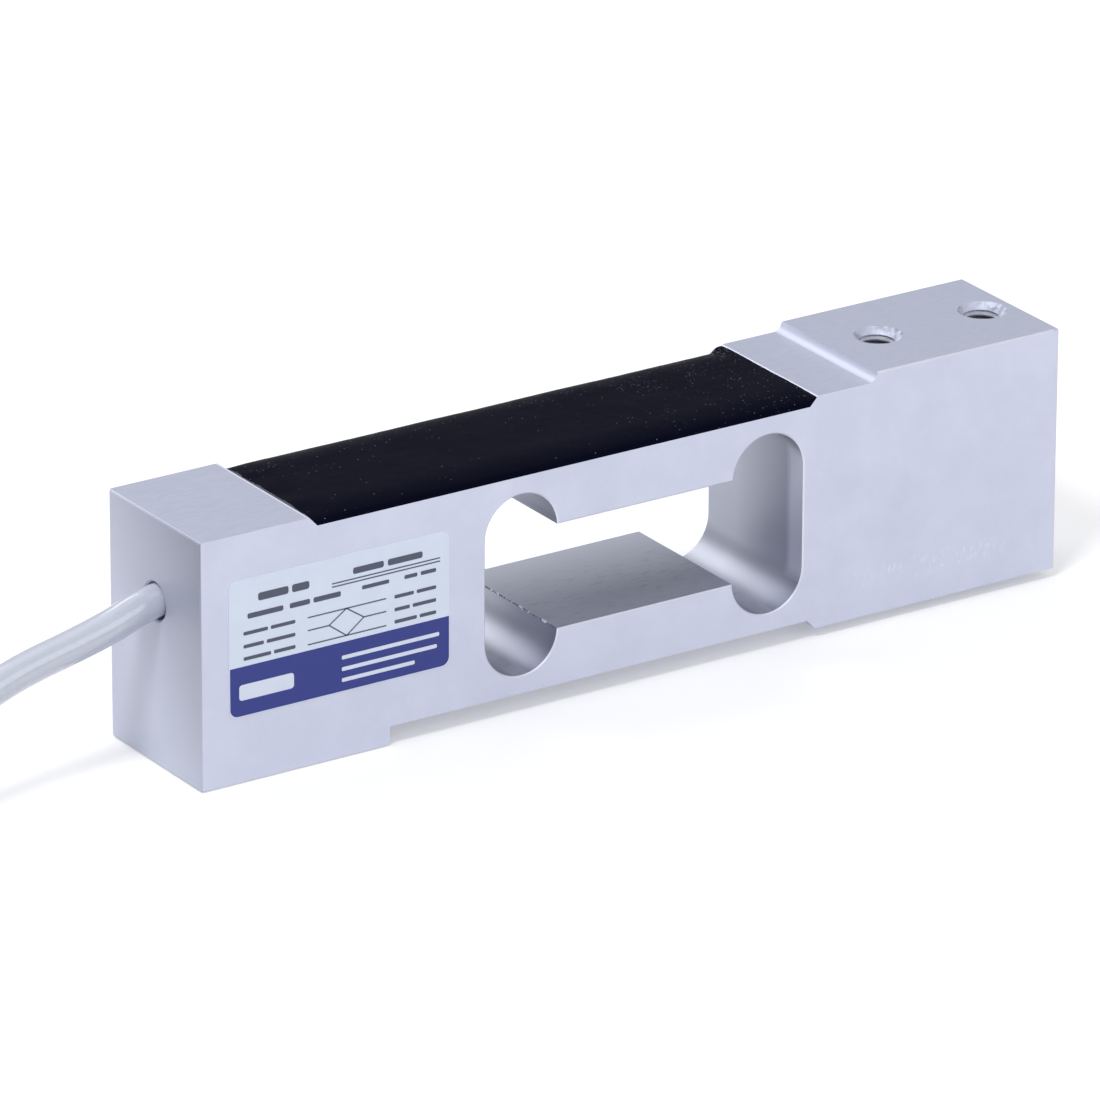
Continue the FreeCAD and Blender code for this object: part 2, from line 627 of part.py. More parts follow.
def tail_route(k):
    """One wire's way out of the sleeve, fanning inwards and settling on the floor."""
    across, up = bundle_offsets()[k]
    sleeve_z = CABLE_RADIUS + SLEEVE_WALL
    turned = INNER_TURN_END + math.degrees(SLEEVE_LENGTH / INNER_TURN_RADIUS)
    here = on_coil(INNER_TURN_RADIUS + across, turned, sleeve_z + up)
    heading = heading_on_coil(turned)
    fan = TAIL_FAN * (len(TAIL_ORDER) - 1 - k)
    points = [here]
    steps = round(TAIL_LENGTH / TAIL_STEP)
    for n in range(1, steps + 1):
        down = min(1.0, (n - 1) / (steps - 2)) ** 2
        here = here + V(math.cos(heading), math.sin(heading), 0) * TAIL_STEP
        here.z = (sleeve_z + up) * (1 - down) + TAIL_RADIUS * down
        points.append(here)
        heading -= TAIL_CURL * TAIL_STEP + (fan if n == 1 else 0)
    return points


def tail_core(k):
    """A core beyond the sleeve, with its end stripped and tinned."""
    route = tail_route(k)
    insulation = pipe(route, TAIL_RADIUS)[0]
    along = route[-1] - route[-2]
    tip = Part.makeCylinder(TIP_RADIUS, TIP_LENGTH, route[-1], along)
    return insulation.fuse(tip)


# ---- writing the parts ----

def main():
    os.makedirs("parts", exist_ok=True)
    lead, lead_length, radii = pipe(LEAD_ROUTE, CABLE_RADIUS)
    print("lead tube: length %.1f mm, volume over section times length %.5f, radii %s mm" % (
        lead_length, lead.Volume / (math.pi * CABLE_RADIUS ** 2 * lead_length),
        ", ".join("%.0f" % r for r in radii)))
    cores = [inner_core(k) for k in range(len(CORE_COLOURS))]
    circuit = {"terminal_board": terminal_board(), "nickel_compensator": nickel_compensator()}
    for n, place in enumerate(gauge_places()):
        circuit["strain_gauge_%d" % (n + 1)] = strain_gauge(*place)
    for name, x, y in CHIPS:
        circuit[name] = chip_resistor(BOARD_X + x, y)
    circuit["solder_joints"] = group(solder_joints())
    circuit["gauge_lead_wires"] = group(lead_wires())

    parts = {"spring_element": spring_element(), "label": label(), "cable_jacket": lead}
    parts.update(circuit)
    for colour, core in zip(CORE_COLOURS, cores):
        parts["inner_core_" + colour] = core
    parts["cable_seal"] = cable_seal(cores, lead)
    parts["sealant_cover"] = sealant_cover(cores + list(circuit.values()))
    parts["cable_coil"] = cable_coil()
    parts["coil_tie"] = coil_tie()
    parts["end_sleeve"] = end_sleeve()
    for k, name in enumerate(TAIL_ORDER):
        parts[name] = tail_core(k)
    for name, shape in parts.items():
        shape.exportStep("parts/%s.step" % name)
        print("%-22s solids %2d  volume %9.2f  valid %s" % (
            name, len(shape.Solids), shape.Volume, shape.isValid()))


main()
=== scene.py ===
import math

import bpy
from mathutils import Matrix, Vector, noise


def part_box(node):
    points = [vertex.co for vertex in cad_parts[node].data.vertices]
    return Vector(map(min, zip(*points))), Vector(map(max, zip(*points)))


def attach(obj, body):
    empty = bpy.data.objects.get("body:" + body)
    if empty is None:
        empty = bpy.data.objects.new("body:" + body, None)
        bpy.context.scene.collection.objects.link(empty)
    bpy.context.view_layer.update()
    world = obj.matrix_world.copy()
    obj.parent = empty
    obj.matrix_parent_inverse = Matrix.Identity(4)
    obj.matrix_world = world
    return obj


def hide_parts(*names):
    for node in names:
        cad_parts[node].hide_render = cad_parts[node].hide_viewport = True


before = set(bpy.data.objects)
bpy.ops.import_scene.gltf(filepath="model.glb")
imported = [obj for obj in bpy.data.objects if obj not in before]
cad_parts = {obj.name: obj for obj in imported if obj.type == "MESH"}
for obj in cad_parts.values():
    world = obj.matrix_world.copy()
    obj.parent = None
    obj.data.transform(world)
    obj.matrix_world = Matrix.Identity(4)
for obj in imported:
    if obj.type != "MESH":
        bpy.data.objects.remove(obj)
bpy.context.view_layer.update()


# ---- spring element ----
# One bar of aluminium alloy, milled and drilled, then clear anodised: a satin, bluish silver skin on
# its outer faces, and the plainer grey of the cutter's work inside the opening. The screws of the
# base and of the platform go into M6 threads, which a tap cuts in the drilled holes.

def srgb(hex_colour):
    """Turns a colour written as RRGGBB into the linear RGBA that a shader takes."""
    values = [int(hex_colour[k:k + 2], 16) / 255 for k in (0, 2, 4)]
    return [c / 12.92 if c < 0.04045 else ((c + 0.055) / 1.055) ** 2.4 for c in values] + [1.0]


def add_node(tree, kind, sockets, **settings):
    """Adds a shader node with its settings; a socket gets a value or another node's output."""
    made = tree.nodes.new("ShaderNode" + kind)
    for name, value in settings.items():
        setattr(made, name, value)
    for name, value in sockets.items():
        if isinstance(value, bpy.types.NodeSocket):
            tree.links.new(value, made.inputs[name])
        else:
            made.inputs[name].default_value = value
    return made


def new_material(name, roughness, metallic=0.0):
    """A material with its Principled shader, and the place on the object in millimetres."""
    material = bpy.data.materials.new(name)
    material.use_nodes = True
    tree = material.node_tree
    shader = tree.nodes["Principled BSDF"]
    shader.inputs["Roughness"].default_value = roughness
    shader.inputs["Metallic"].default_value = metallic
    place = add_node(tree, "TexCoord", {}).outputs["Object"]
    in_mm = add_node(tree, "VectorMath", {0: place, "Scale": 1000.0}, operation="SCALE").outputs[0]
    return material, tree, shader, in_mm


def box_of(node):
    """The two corners of a CAD node's box, to the nearest micrometre."""
    return [[round(place, 6) for place in end_painted_shade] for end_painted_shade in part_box(node)]


def select_only(*objects):
    """Deselects everything, then selects these, the first of them active."""
    bpy.ops.object.select_all(action="DESELECT")
    for each in objects:
        each.select_set(True)
    bpy.context.view_layer.objects.active = objects[0]


def merged_copy(node, name):
    """A copy of a CAD node with its own mesh, its loose triangles joined."""
    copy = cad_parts[node].copy()
    copy.data = copy.data.copy()
    copy.name = copy.data.name = name
    bpy.context.collection.objects.link(copy)
    select_only(copy)
    bpy.ops.object.mode_set(mode="EDIT")
    bpy.ops.mesh.select_all(action="SELECT")
    bpy.ops.mesh.remove_doubles(threshold=0.000001)
    bpy.ops.mesh.customdata_custom_splitnormals_clear()
    bpy.ops.object.mode_set(mode="OBJECT")
    return copy


def apply_place(piece):
    """Puts a piece's place, turn and size into its mesh, so its object sits at the origin."""
    select_only(piece)
    bpy.ops.object.transform_apply(location=True, rotation=True, scale=True)


def close_ends(sides):
    """Welds the active mesh, fills its ends of up to this many sides, and turns its faces outwards."""
    bpy.ops.object.mode_set(mode="EDIT")
    bpy.ops.mesh.select_all(action="SELECT")
    bpy.ops.mesh.remove_doubles(threshold=0.0000001)
    bpy.ops.mesh.fill_holes(sides=sides)
    bpy.ops.mesh.select_all(action="SELECT")
    bpy.ops.mesh.normals_make_consistent(inside=False)
    bpy.ops.object.mode_set(mode="OBJECT")


def dress(piece, material):
    """Gives a piece this material in place of any it came with."""
    piece.data.materials.clear()
    piece.data.materials.append(material)


def belongs(piece, slot, *nodes):
    """The piece rides on the only body and stands for these CAD nodes, which it hides. The slot is not
    used.
    """
    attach(piece, "root")
    if nodes:
        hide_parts(*nodes)


beam_low, beam_high = box_of("spring_element")
FIXED_HOLES, LOAD_HOLES = (-0.0698, -0.0508), (0.0508, 0.0698)
THREAD_PITCH, THREAD_TURNS, THREAD_STEPS = 0.001, 13, 28
THREAD_START = 0.0004
ROOT_RADIUS, CREST_RADIUS, HALF_GROOVE = 0.00305, 0.00245, 0.00046
beam = merged_copy("spring_element", "beam")
holes = [(hole_x, 0.0, 1) for hole_x in FIXED_HOLES]
holes += [(hole_x, beam_high[2], -1) for hole_x in LOAD_HOLES]
for hole_x, mouth_z, inwards in holes:
    bpy.ops.mesh.primitive_circle_add(vertices=3, radius=HALF_GROOVE, fill_type="NOTHING")
    tap = bpy.context.object
    corners = [(CREST_RADIUS, HALF_GROOVE), (ROOT_RADIUS, 0.0), (CREST_RADIUS, -HALF_GROOVE)]
    for vertex, (out, along) in zip(tap.data.vertices, corners):
        vertex.co = (out, 0, along)
    cut = tap.modifiers.new("helix", "SCREW")
    cut.axis = "Z"
    cut.screw_offset = THREAD_PITCH
    cut.iterations = THREAD_TURNS
    cut.steps = cut.render_steps = THREAD_STEPS
    select_only(tap)
    bpy.ops.object.modifier_apply(modifier=cut.name)
    close_ends(sides=4)
    tap.rotation_euler = (math.pi if inwards < 0 else 0, 0, math.pi / THREAD_STEPS)
    tap.location = (hole_x, 0, mouth_z + inwards * THREAD_START)
    apply_place(tap)
    carve = beam.modifiers.new("thread", "BOOLEAN")
    carve.operation = "DIFFERENCE"
    carve.solver = "EXACT"
    carve.object = tap
    select_only(beam)
    bpy.ops.object.modifier_apply(modifier=carve.name)
    bpy.data.objects.remove(tap)
select_only(beam)
bpy.ops.object.shade_smooth_by_angle(angle=math.radians(25))
belongs(beam, "beam_aluminium", "spring_element")

# Clear anodised aluminium. Outer sides: fine, cloudy, almost chalky grain. Milled faces: glossier, with
# the cutter's marks; the tops a tone darker, and inside the opening painted shade, darker towards the
# front. Broken edges: painted highlights, the brightest lines on the part.

# Places in millimetres, lengthways from the beam's middle and upwards from its underside, and how
# squarely a face has to look along its axis to be a side, the top, level, or a broken edge.
HALF_LENGTH, AXIS_LEVEL, SINK_FLOOR = beam_high[0] * 1000, beam_high[2] * 500, 18.8
OPENING_MIDDLE, HALF_OPENING, HALF_OPENING_HEIGHT = 1.1, 28.2, 14.4
SHELF_EDGE, STEP_MIDDLE, HALF_STEP = 56.85, 41.25, 0.82
PAIR_MIDDLE, HALF_PAIR, THREAD_ROOT, SINK_RADIUS = 60.3, 9.5, 3.08, 3.8
SIDE_FACING, TOP_FACING, LEVEL_FACING, EDGE_FACING = 0.95, 0.9, 0.98, 0.45
material, tree, shader, in_mm = new_material("anodised_aluminium", 0.4, metallic=0.5)
facing = add_node(tree, "SeparateXYZ", {0: add_node(tree, "TexCoord", {}).outputs["Normal"]})
spot = add_node(tree, "SeparateXYZ", {0: in_mm})
side_on = add_node(tree, "Math", {0: facing.outputs["Y"]}, operation="ABSOLUTE").outputs[0]
is_side = add_node(tree, "Math", {0: side_on, 1: SIDE_FACING}, operation="GREATER_THAN").outputs[0]
is_top = add_node(tree, "Math", {0: facing.outputs["Z"], 1: TOP_FACING},
                  operation="GREATER_THAN").outputs[0]
off_middle = add_node(tree, "Math", {0: spot.outputs["X"]}, operation="ABSOLUTE").outputs[0]
is_end = add_node(tree, "Math", {0: off_middle, 1: HALF_LENGTH - 0.2}, operation="GREATER_THAN").outputs[0]
from_middle = add_node(tree, "Math", {0: spot.outputs["X"], 1: OPENING_MIDDLE},
                       operation="SUBTRACT").outputs[0]
across = add_node(tree, "Math", {0: from_middle}, operation="ABSOLUTE").outputs[0]
in_length = add_node(tree, "Math", {0: across, 1: HALF_OPENING}, operation="LESS_THAN").outputs[0]
from_axis = add_node(tree, "Math", {0: spot.outputs["Z"], 1: AXIS_LEVEL}, operation="SUBTRACT").outputs[0]
above = add_node(tree, "Math", {0: from_axis}, operation="ABSOLUTE").outputs[0]
in_height = add_node(tree, "Math", {0: above, 1: HALF_OPENING_HEIGHT}, operation="LESS_THAN").outputs[0]
in_window = add_node(tree, "Math", {0: in_length, 1: in_height}, operation="MULTIPLY").outputs[0]
not_side = add_node(tree, "Math", {0: 1.0, 1: is_side}, operation="SUBTRACT").outputs[0]
is_inside = add_node(tree, "Math", {0: in_window, 1: not_side}, operation="MULTIPLY").outputs[0]
# Painted highlights: the slanted faces of the broken edges along the sides, short of the ends, and the
# shelf's edge above the left ramp are painted near white.
slanted_edge = add_node(tree, "Math", {0: side_on, 1: EDGE_FACING}, operation="GREATER_THAN").outputs[0]
edge_highlight_and_nicks = add_node(tree, "Math", {0: slanted_edge, 1: not_side}, operation="MULTIPLY").outputs[0]
before_end = add_node(tree, "Math", {0: off_middle, 1: HALF_LENGTH - 1.0}, operation="LESS_THAN").outputs[0]
edge_highlight_and_nicks = add_node(tree, "Math", {0: edge_highlight_and_nicks, 1: before_end}, operation="MULTIPLY").outputs[0]
from_ramp = add_node(tree, "Math", {0: spot.outputs["X"], 1: SHELF_EDGE}, operation="ADD").outputs[0]
from_ramp = add_node(tree, "Math", {0: from_ramp}, operation="ABSOLUTE").outputs[0]
ramp_edge_highlight = add_node(tree, "Math", {0: from_ramp, 1: 0.18}, operation="LESS_THAN").outputs[0]
ramp_edge_highlight = add_node(tree, "Math", {0: ramp_edge_highlight, 1: is_top}, operation="MULTIPLY").outputs[0]
edge_highlight_and_nicks = add_node(tree, "Math", {0: edge_highlight_and_nicks, 1: ramp_edge_highlight}, operation="MAXIMUM").outputs[0]

# Where the left slot's wall meets the floor of the window, the cutter left small bright nicks.
NICK_LINE, NICK_REACH = (-14.25, 0.0, 11.7), 0.24
nick_way = add_node(tree, "VectorMath", {0: in_mm, 1: NICK_LINE}, operation="SUBTRACT").outputs[0]
nick_way = add_node(tree, "VectorMath", {0: nick_way, 1: (1.0, 0.0, 1.0)}, operation="MULTIPLY").outputs[0]
nick_off = add_node(tree, "VectorMath", {0: nick_way}, operation="LENGTH").outputs["Value"]
nick_near = add_node(tree, "Math", {0: nick_off, 1: NICK_REACH}, operation="LESS_THAN").outputs[0]
chips = add_node(tree, "TexNoise", {"Vector": in_mm, "Scale": 1.4, "Detail": 1.0}).outputs["Fac"]
nicks = add_node(tree, "Math", {0: chips, 1: 0.6}, operation="GREATER_THAN").outputs[0]
nicks = add_node(tree, "Math", {0: nicks, 1: nick_near}, operation="MULTIPLY").outputs[0]
edge_highlight_and_nicks = add_node(tree, "Math", {0: edge_highlight_and_nicks, 1: nicks}, operation="MAXIMUM").outputs[0]

# The tapped holes stand in two pairs, and their bare metal starts at the root of the thread.
from_pair = add_node(tree, "Math", {0: off_middle, 1: PAIR_MIDDLE}, operation="SUBTRACT").outputs[0]
from_pair = add_node(tree, "Math", {0: from_pair}, operation="ABSOLUTE").outputs[0]
from_hole = add_node(tree, "Math", {0: from_pair, 1: HALF_PAIR}, operation="SUBTRACT").outputs[0]
hole_spot = add_node(tree, "CombineXYZ", {0: from_hole, 1: spot.outputs["Y"]}).outputs[0]
hole_radius = add_node(tree, "VectorMath", {0: hole_spot}, operation="LENGTH").outputs["Value"]
in_hole = add_node(tree, "Math", {0: hole_radius, 1: THREAD_ROOT}, operation="LESS_THAN").outputs[0]

# Grain of 0.3 mm, clouds of 1 to 8 mm, and the cutter's scuffs and streaks, drawn out along its path.
grain = add_node(tree, "TexNoise",
                 {"Vector": in_mm, "Scale": 3.5, "Detail": 4.0, "Roughness": 0.6}).outputs["Fac"]
cloud = add_node(tree, "TexNoise",
                 {"Vector": in_mm, "Scale": 0.12, "Detail": 5.0, "Roughness": 0.6}).outputs["Fac"]
cloud = add_node(tree, "MapRange", {"Value": cloud, "From Min": 0.3, "From Max": 0.7}).outputs[0]
stretch = add_node(tree, "Mapping", {"Vector": in_mm, "Rotation": (0, 0, 0.6), "Scale": (0.5, 3.5, 1.0)})
scuffs = add_node(tree, "TexNoise",
                  {"Vector": stretch.outputs[0], "Scale": 1.0, "Detail": 5.0}).outputs["Fac"]
lines = add_node(tree, "Mapping", {"Vector": in_mm, "Rotation": (0, 0, 0.1), "Scale": (0.3, 2.2, 1.0)})
streaks = add_node(tree, "TexNoise",
                   {"Vector": lines.outputs[0], "Scale": 1.2, "Detail": 3.0}).outputs["Fac"]
flat_on = add_node(tree, "Math", {0: facing.outputs["Z"]}, operation="ABSOLUTE").outputs[0]
is_flat = add_node(tree, "Math", {0: flat_on, 1: LEVEL_FACING}, operation="GREATER_THAN").outputs[0]
dashes = add_node(tree, "MapRange", {"Value": streaks, "From Min": 0.56, "From Max": 0.66}).outputs[0]
dashes = add_node(tree, "Math", {0: dashes, 1: is_flat}, operation="MULTIPLY").outputs[0]
to_front = add_node(tree, "MapRange",
                    {"Value": spot.outputs["Y"], "From Min": 10.0, "From Max": -12.0}).outputs[0]
dashes = add_node(tree, "Math", {0: dashes, 1: to_front}, operation="MULTIPLY").outputs[0]

outer = add_node(tree, "Mix", {0: cloud, 6: srgb("CDD2E5"), 7: srgb("D6DAEC")}, data_type="RGBA").outputs[2]
top_fade = add_node(tree, "MapRange", {"Value": scuffs, "From Min": 0.3, "From Max": 0.7}).outputs[0]
milled_top = add_node(tree, "Mix", {0: top_fade, 6: srgb("BFC4D8"), 7: srgb("C9CEE1")},
                      data_type="RGBA").outputs[2]
# Painted shade: the window's floor and the slots' walls are painted lighter at the back, as if lit from
# behind, and darker at the front, as if shaded by the bridge.
flat_shade_to_back = add_node(tree, "MapRange",
                   {"Value": spot.outputs["Y"], "From Min": -8.0, "From Max": 12.0}).outputs[0]
flat_painted_shade = add_node(tree, "Mix", {0: flat_shade_to_back, 6: srgb("9296A6"), 7: srgb("D6DAE6")},
                       data_type="RGBA").outputs[2]
lobe_shade_to_depth = add_node(tree, "MapRange",
                    {"Value": spot.outputs["Y"], "From Min": -12.0, "From Max": 5.0}).outputs[0]
lobe_painted_shade = add_node(tree, "Mix", {0: lobe_shade_to_depth, 6: srgb("808497"), 7: srgb("C1C5D2")},
                       data_type="RGBA").outputs[2]

# Painted light: the first 4 mm of the right slot's end wall is painted brighter, as if lit from the front.
# An uneven dark line runs along the edge where the left slot meets the floor of the window.
end_wall = add_node(tree, "MapRange",
                    {"Value": spot.outputs["X"], "From Min": 28.3, "From Max": 28.9}).outputs[0]
painted_light_band = add_node(tree, "MapRange",
                     {"Value": spot.outputs["Y"], "From Min": -8.0, "From Max": -9.4}).outputs[0]
painted_light_band = add_node(tree, "Math", {0: painted_light_band, 1: end_wall}, operation="MULTIPLY").outputs[0]
lobe_painted_shade = add_node(tree, "Mix", {0: painted_light_band, 6: lobe_painted_shade, 7: srgb("B4B8C9")},
                       data_type="RGBA").outputs[2]
inside_shade_and_marks = add_node(tree, "Mix", {0: is_flat, 6: lobe_painted_shade, 7: flat_painted_shade}, data_type="RGBA").outputs[2]
edge_reach = add_node(tree, "MapRange",
                      {"Value": chips, "From Min": 0.3, "From Max": 0.6, "To Max": 0.2}).outputs[0]
dark_edge = add_node(tree, "Math", {0: nick_off, 1: edge_reach}, operation="LESS_THAN").outputs[0]
inside_shade_and_marks = add_node(tree, "Mix", {0: dark_edge, 6: inside_shade_and_marks, 7: srgb("6B6F7F")},
                     data_type="RGBA").outputs[2]
inside_shade_and_marks = add_node(tree, "Mix", {0: dashes, 6: inside_shade_and_marks, 7: srgb("858997")}, data_type="RGBA").outputs[2]
skin = add_node(tree, "Mix", {0: is_top, 6: outer, 7: milled_top}, data_type="RGBA").outputs[2]
# Painted shade: the end faces are painted darker towards their upper front corner.
end_shade_way = add_node(tree, "VectorMath", {0: in_mm, 1: (0.0, -1.0, 0.7)},
                      operation="DOT_PRODUCT").outputs["Value"]
end_painted_shade = add_node(tree, "MapRange", {"Value": end_shade_way, "From Min": 5.0, "From Max": 38.0}).outputs[0]
end_face_painted_shade = add_node(tree, "Mix", {0: end_painted_shade, 6: srgb("CDD2E3"), 7: srgb("9196A8")},
                      data_type="RGBA").outputs[2]
skin = add_node(tree, "Mix", {0: is_end, 6: skin, 7: end_face_painted_shade}, data_type="RGBA").outputs[2]
skin = add_node(tree, "Mix", {0: is_inside, 6: skin, 7: inside_shade_and_marks}, data_type="RGBA").outputs[2]
# Painted highlights on the broken edges, and the bright nicks, in one near-white tone.
skin = add_node(tree, "Mix", {0: edge_highlight_and_nicks, 6: skin, 7: srgb("E8ECF8")}, data_type="RGBA").outputs[2]

# Light rub marks on the front near the load end: a row of pale flecks half a millimetre wide.
rub_low = add_node(tree, "MapRange",
                   {"Value": spot.outputs["Z"], "From Min": 5.2, "From Max": 6.4}).outputs[0]
rub_high = add_node(tree, "MapRange",
                    {"Value": spot.outputs["Z"], "From Min": 9.6, "From Max": 8.4}).outputs[0]
rub_from = add_node(tree, "MapRange",
                    {"Value": spot.outputs["X"], "From Min": 36.0, "From Max": 40.0}).outputs[0]
rub_to = add_node(tree, "MapRange",
                  {"Value": spot.outputs["X"], "From Min": 68.0, "From Max": 62.0}).outputs[0]
rub = add_node(tree, "Math", {0: rub_low, 1: rub_high}, operation="MULTIPLY").outputs[0]
rub = add_node(tree, "Math", {0: rub, 1: rub_from}, operation="MULTIPLY").outputs[0]
rub = add_node(tree, "Math", {0: rub, 1: rub_to}, operation="MULTIPLY").outputs[0]
upright = add_node(tree, "Mapping", {"Vector": in_mm, "Scale": (2.4, 1.0, 0.9)})
flecks = add_node(tree, "TexNoise",
                  {"Vector": upright.outputs[0], "Scale": 1.0, "Detail": 1.0}).outputs["Fac"]
flecks = add_node(tree, "MapRange", {"Value": flecks, "From Min": 0.55, "From Max": 0.65}).outputs[0]
rub = add_node(tree, "Math", {0: rub, 1: flecks}, operation="MULTIPLY").outputs[0]
is_front = add_node(tree, "Math", {0: facing.outputs["Y"], 1: -SIDE_FACING},
                    operation="LESS_THAN").outputs[0]
rub = add_node(tree, "Math", {0: rub, 1: is_front}, operation="MULTIPLY").outputs[0]
rub = add_node(tree, "Math", {0: rub, 1: 0.4}, operation="MULTIPLY").outputs[0]
skin = add_node(tree, "Mix", {0: rub, 6: skin, 7: srgb("E6E9F4")}, data_type="RGBA").outputs[2]

# Bare metal in the threads, with painted light: the first turn is painted bright as if it catches the
# light, and the turns further in are painted darker, as shade.
not_flat = add_node(tree, "Math", {0: 1.0, 1: is_flat}, operation="SUBTRACT").outputs[0]
below_sink = add_node(tree, "Math", {0: above, 1: SINK_FLOOR}, operation="LESS_THAN").outputs[0]
tapped = add_node(tree, "Math", {0: in_hole, 1: not_flat}, operation="MULTIPLY").outputs[0]
tapped = add_node(tree, "Math", {0: tapped, 1: below_sink}, operation="MULTIPLY").outputs[0]
first_turn_highlight = add_node(tree, "MapRange", {"Value": above, "From Min": 17.6, "From Max": 18.6}).outputs[0]
thread_painted_light = add_node(tree, "Mix", {0: first_turn_highlight, 6: srgb("7C7F8A"), 7: srgb("C9CCD8")},
                data_type="RGBA").outputs[2]
skin = add_node(tree, "Mix", {0: tapped, 6: skin, 7: thread_painted_light}, data_type="RGBA").outputs[2]

# The countersinks and the hollow step below the load pad come from form cutters: duller than the
# rest. The countersinks carry painted shade: mottled dark patches, strongest on their left and right.
STEP_FOOT = 38.4
in_sink = add_node(tree, "Math", {0: hole_radius, 1: SINK_RADIUS}, operation="LESS_THAN").outputs[0]
at_sink = add_node(tree, "Math", {0: above, 1: SINK_FLOOR}, operation="GREATER_THAN").outputs[0]
sunk = add_node(tree, "Math", {0: in_sink, 1: at_sink}, operation="MULTIPLY").outputs[0]
from_step = add_node(tree, "Math", {0: spot.outputs["X"], 1: STEP_MIDDLE}, operation="SUBTRACT").outputs[0]
from_step = add_node(tree, "Math", {0: from_step}, operation="ABSOLUTE").outputs[0]
near_step = add_node(tree, "Math", {0: from_step, 1: HALF_STEP}, operation="LESS_THAN").outputs[0]
on_top = add_node(tree, "Math", {0: spot.outputs["Z"], 1: STEP_FOOT}, operation="GREATER_THAN").outputs[0]
step = add_node(tree, "Math", {0: near_step, 1: on_top}, operation="MULTIPLY").outputs[0]
formed = add_node(tree, "Math", {0: sunk, 1: step}, operation="MAXIMUM").outputs[0]
formed = add_node(tree, "Math", {0: formed, 1: not_flat}, operation="MULTIPLY").outputs[0]
formed = add_node(tree, "Math", {0: formed, 1: not_side}, operation="MULTIPLY").outputs[0]
sink_painted_shade = add_node(tree, "TexNoise", {"Vector": in_mm, "Scale": 0.8, "Detail": 3.0}).outputs["Fac"]
sink_painted_shade = add_node(tree, "MapRange", {"Value": sink_painted_shade, "From Min": 0.38, "From Max": 0.66}).outputs[0]
to_rim = add_node(tree, "Math", {0: from_hole}, operation="ABSOLUTE").outputs[0]
to_rim = add_node(tree, "MapRange", {"Value": to_rim, "From Min": 1.0, "From Max": 3.2,
                                     "To Min": 0.25, "To Max": 1.0}).outputs[0]
sink_painted_shade = add_node(tree, "Math", {0: sink_painted_shade, 1: to_rim}, operation="MULTIPLY").outputs[0]
sink_painted_shade = add_node(tree, "Math", {0: sink_painted_shade, 1: sunk}, operation="MULTIPLY").outputs[0]
formed_tone_with_shade = add_node(tree, "Mix", {0: sink_painted_shade, 6: srgb("D3D8E9"), 7: srgb("858A9C")},
                       data_type="RGBA").outputs[2]
skin = add_node(tree, "Mix", {0: formed, 6: skin, 7: formed_tone_with_shade}, data_type="RGBA").outputs[2]
tree.links.new(skin, shader.inputs["Base Color"])

rough = add_node(tree, "MapRange",
                 {"Value": grain, "From Min": 0.3, "From Max": 0.7, "To Min": 0.38, "To Max": 0.5})
rough = add_node(tree, "Mix", {0: is_inside, 2: rough.outputs[0], 3: 0.4}).outputs[0]
rough = add_node(tree, "Mix", {0: formed, 2: rough, 3: 0.56}).outputs[0]
tree.links.new(rough, shader.inputs["Roughness"])
relief = add_node(tree, "Mix", {0: is_inside, 2: grain, 3: dashes}).outputs[0]
metal_share = add_node(tree, "Mix", {0: is_end, 2: 0.5, 3: 0.15}).outputs[0]
tree.links.new(metal_share, shader.inputs["Metallic"])
bump = add_node(tree, "Bump", {"Strength": 0.2, "Distance": 0.00002, "Height": relief}).outputs[0]
tree.links.new(bump, shader.inputs["Normal"])
dress(beam, material)


# ---- gauge circuit ----
# Four foil strain gauges and a nickel compensator on polyimide film, a green glass-epoxy board with
# three chip resistors, soldered cores and fine tinned wires, all bonded to the channel floor.

# Amber polyimide, smooth and slightly clouded, with dull grey foil on it.
FOIL_LEVEL = 37.104
material, tree, shader, in_mm = new_material("polyimide_gauge_film", 0.35)
level = add_node(tree, "SeparateXYZ", {0: in_mm}).outputs["Z"]
is_foil = add_node(tree, "Math", {0: level, 1: FOIL_LEVEL}, operation="GREATER_THAN").outputs[0]
cloud = add_node(tree, "TexNoise", {"Vector": in_mm, "Scale": 0.8}).outputs["Fac"]
film = add_node(tree, "Mix", {0: cloud, 6: srgb("B9731C"), 7: srgb("CB8A2E")}, data_type="RGBA").outputs[2]
film = add_node(tree, "Mix", {0: is_foil, 6: film, 7: srgb("A9A49B")}, data_type="RGBA").outputs[2]
tree.links.new(film, shader.inputs["Base Color"])
tree.links.new(is_foil, shader.inputs["Metallic"])
for name in ["strain_gauge_1", "strain_gauge_2", "strain_gauge_3", "strain_gauge_4", "nickel_compensator"]:
    dress(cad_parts[name], material)

# Green glass-epoxy laminate: its weave just shows, and its copper pads are bare.
BOARD_COPPER_LEVEL = 37.304
material, tree, shader, in_mm = new_material("glass_epoxy_board", 0.4)
level = add_node(tree, "SeparateXYZ", {0: in_mm}).outputs["Z"]
is_copper = add_node(tree, "Math", {0: level, 1: BOARD_COPPER_LEVEL}, operation="GREATER_THAN").outputs[0]
weave = add_node(tree, "TexChecker",
                 {"Vector": in_mm, "Scale": 4.0, "Color1": srgb("1E6B3A"), "Color2": srgb("227441")})
board = add_node(tree, "Mix", {0: is_copper, 6: weave.outputs["Color"], 7: srgb("C98F5A")},
                 data_type="RGBA").outputs[2]
tree.links.new(board, shader.inputs["Base Color"])
tree.links.new(is_copper, shader.inputs["Metallic"])
dress(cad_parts["terminal_board"], material)

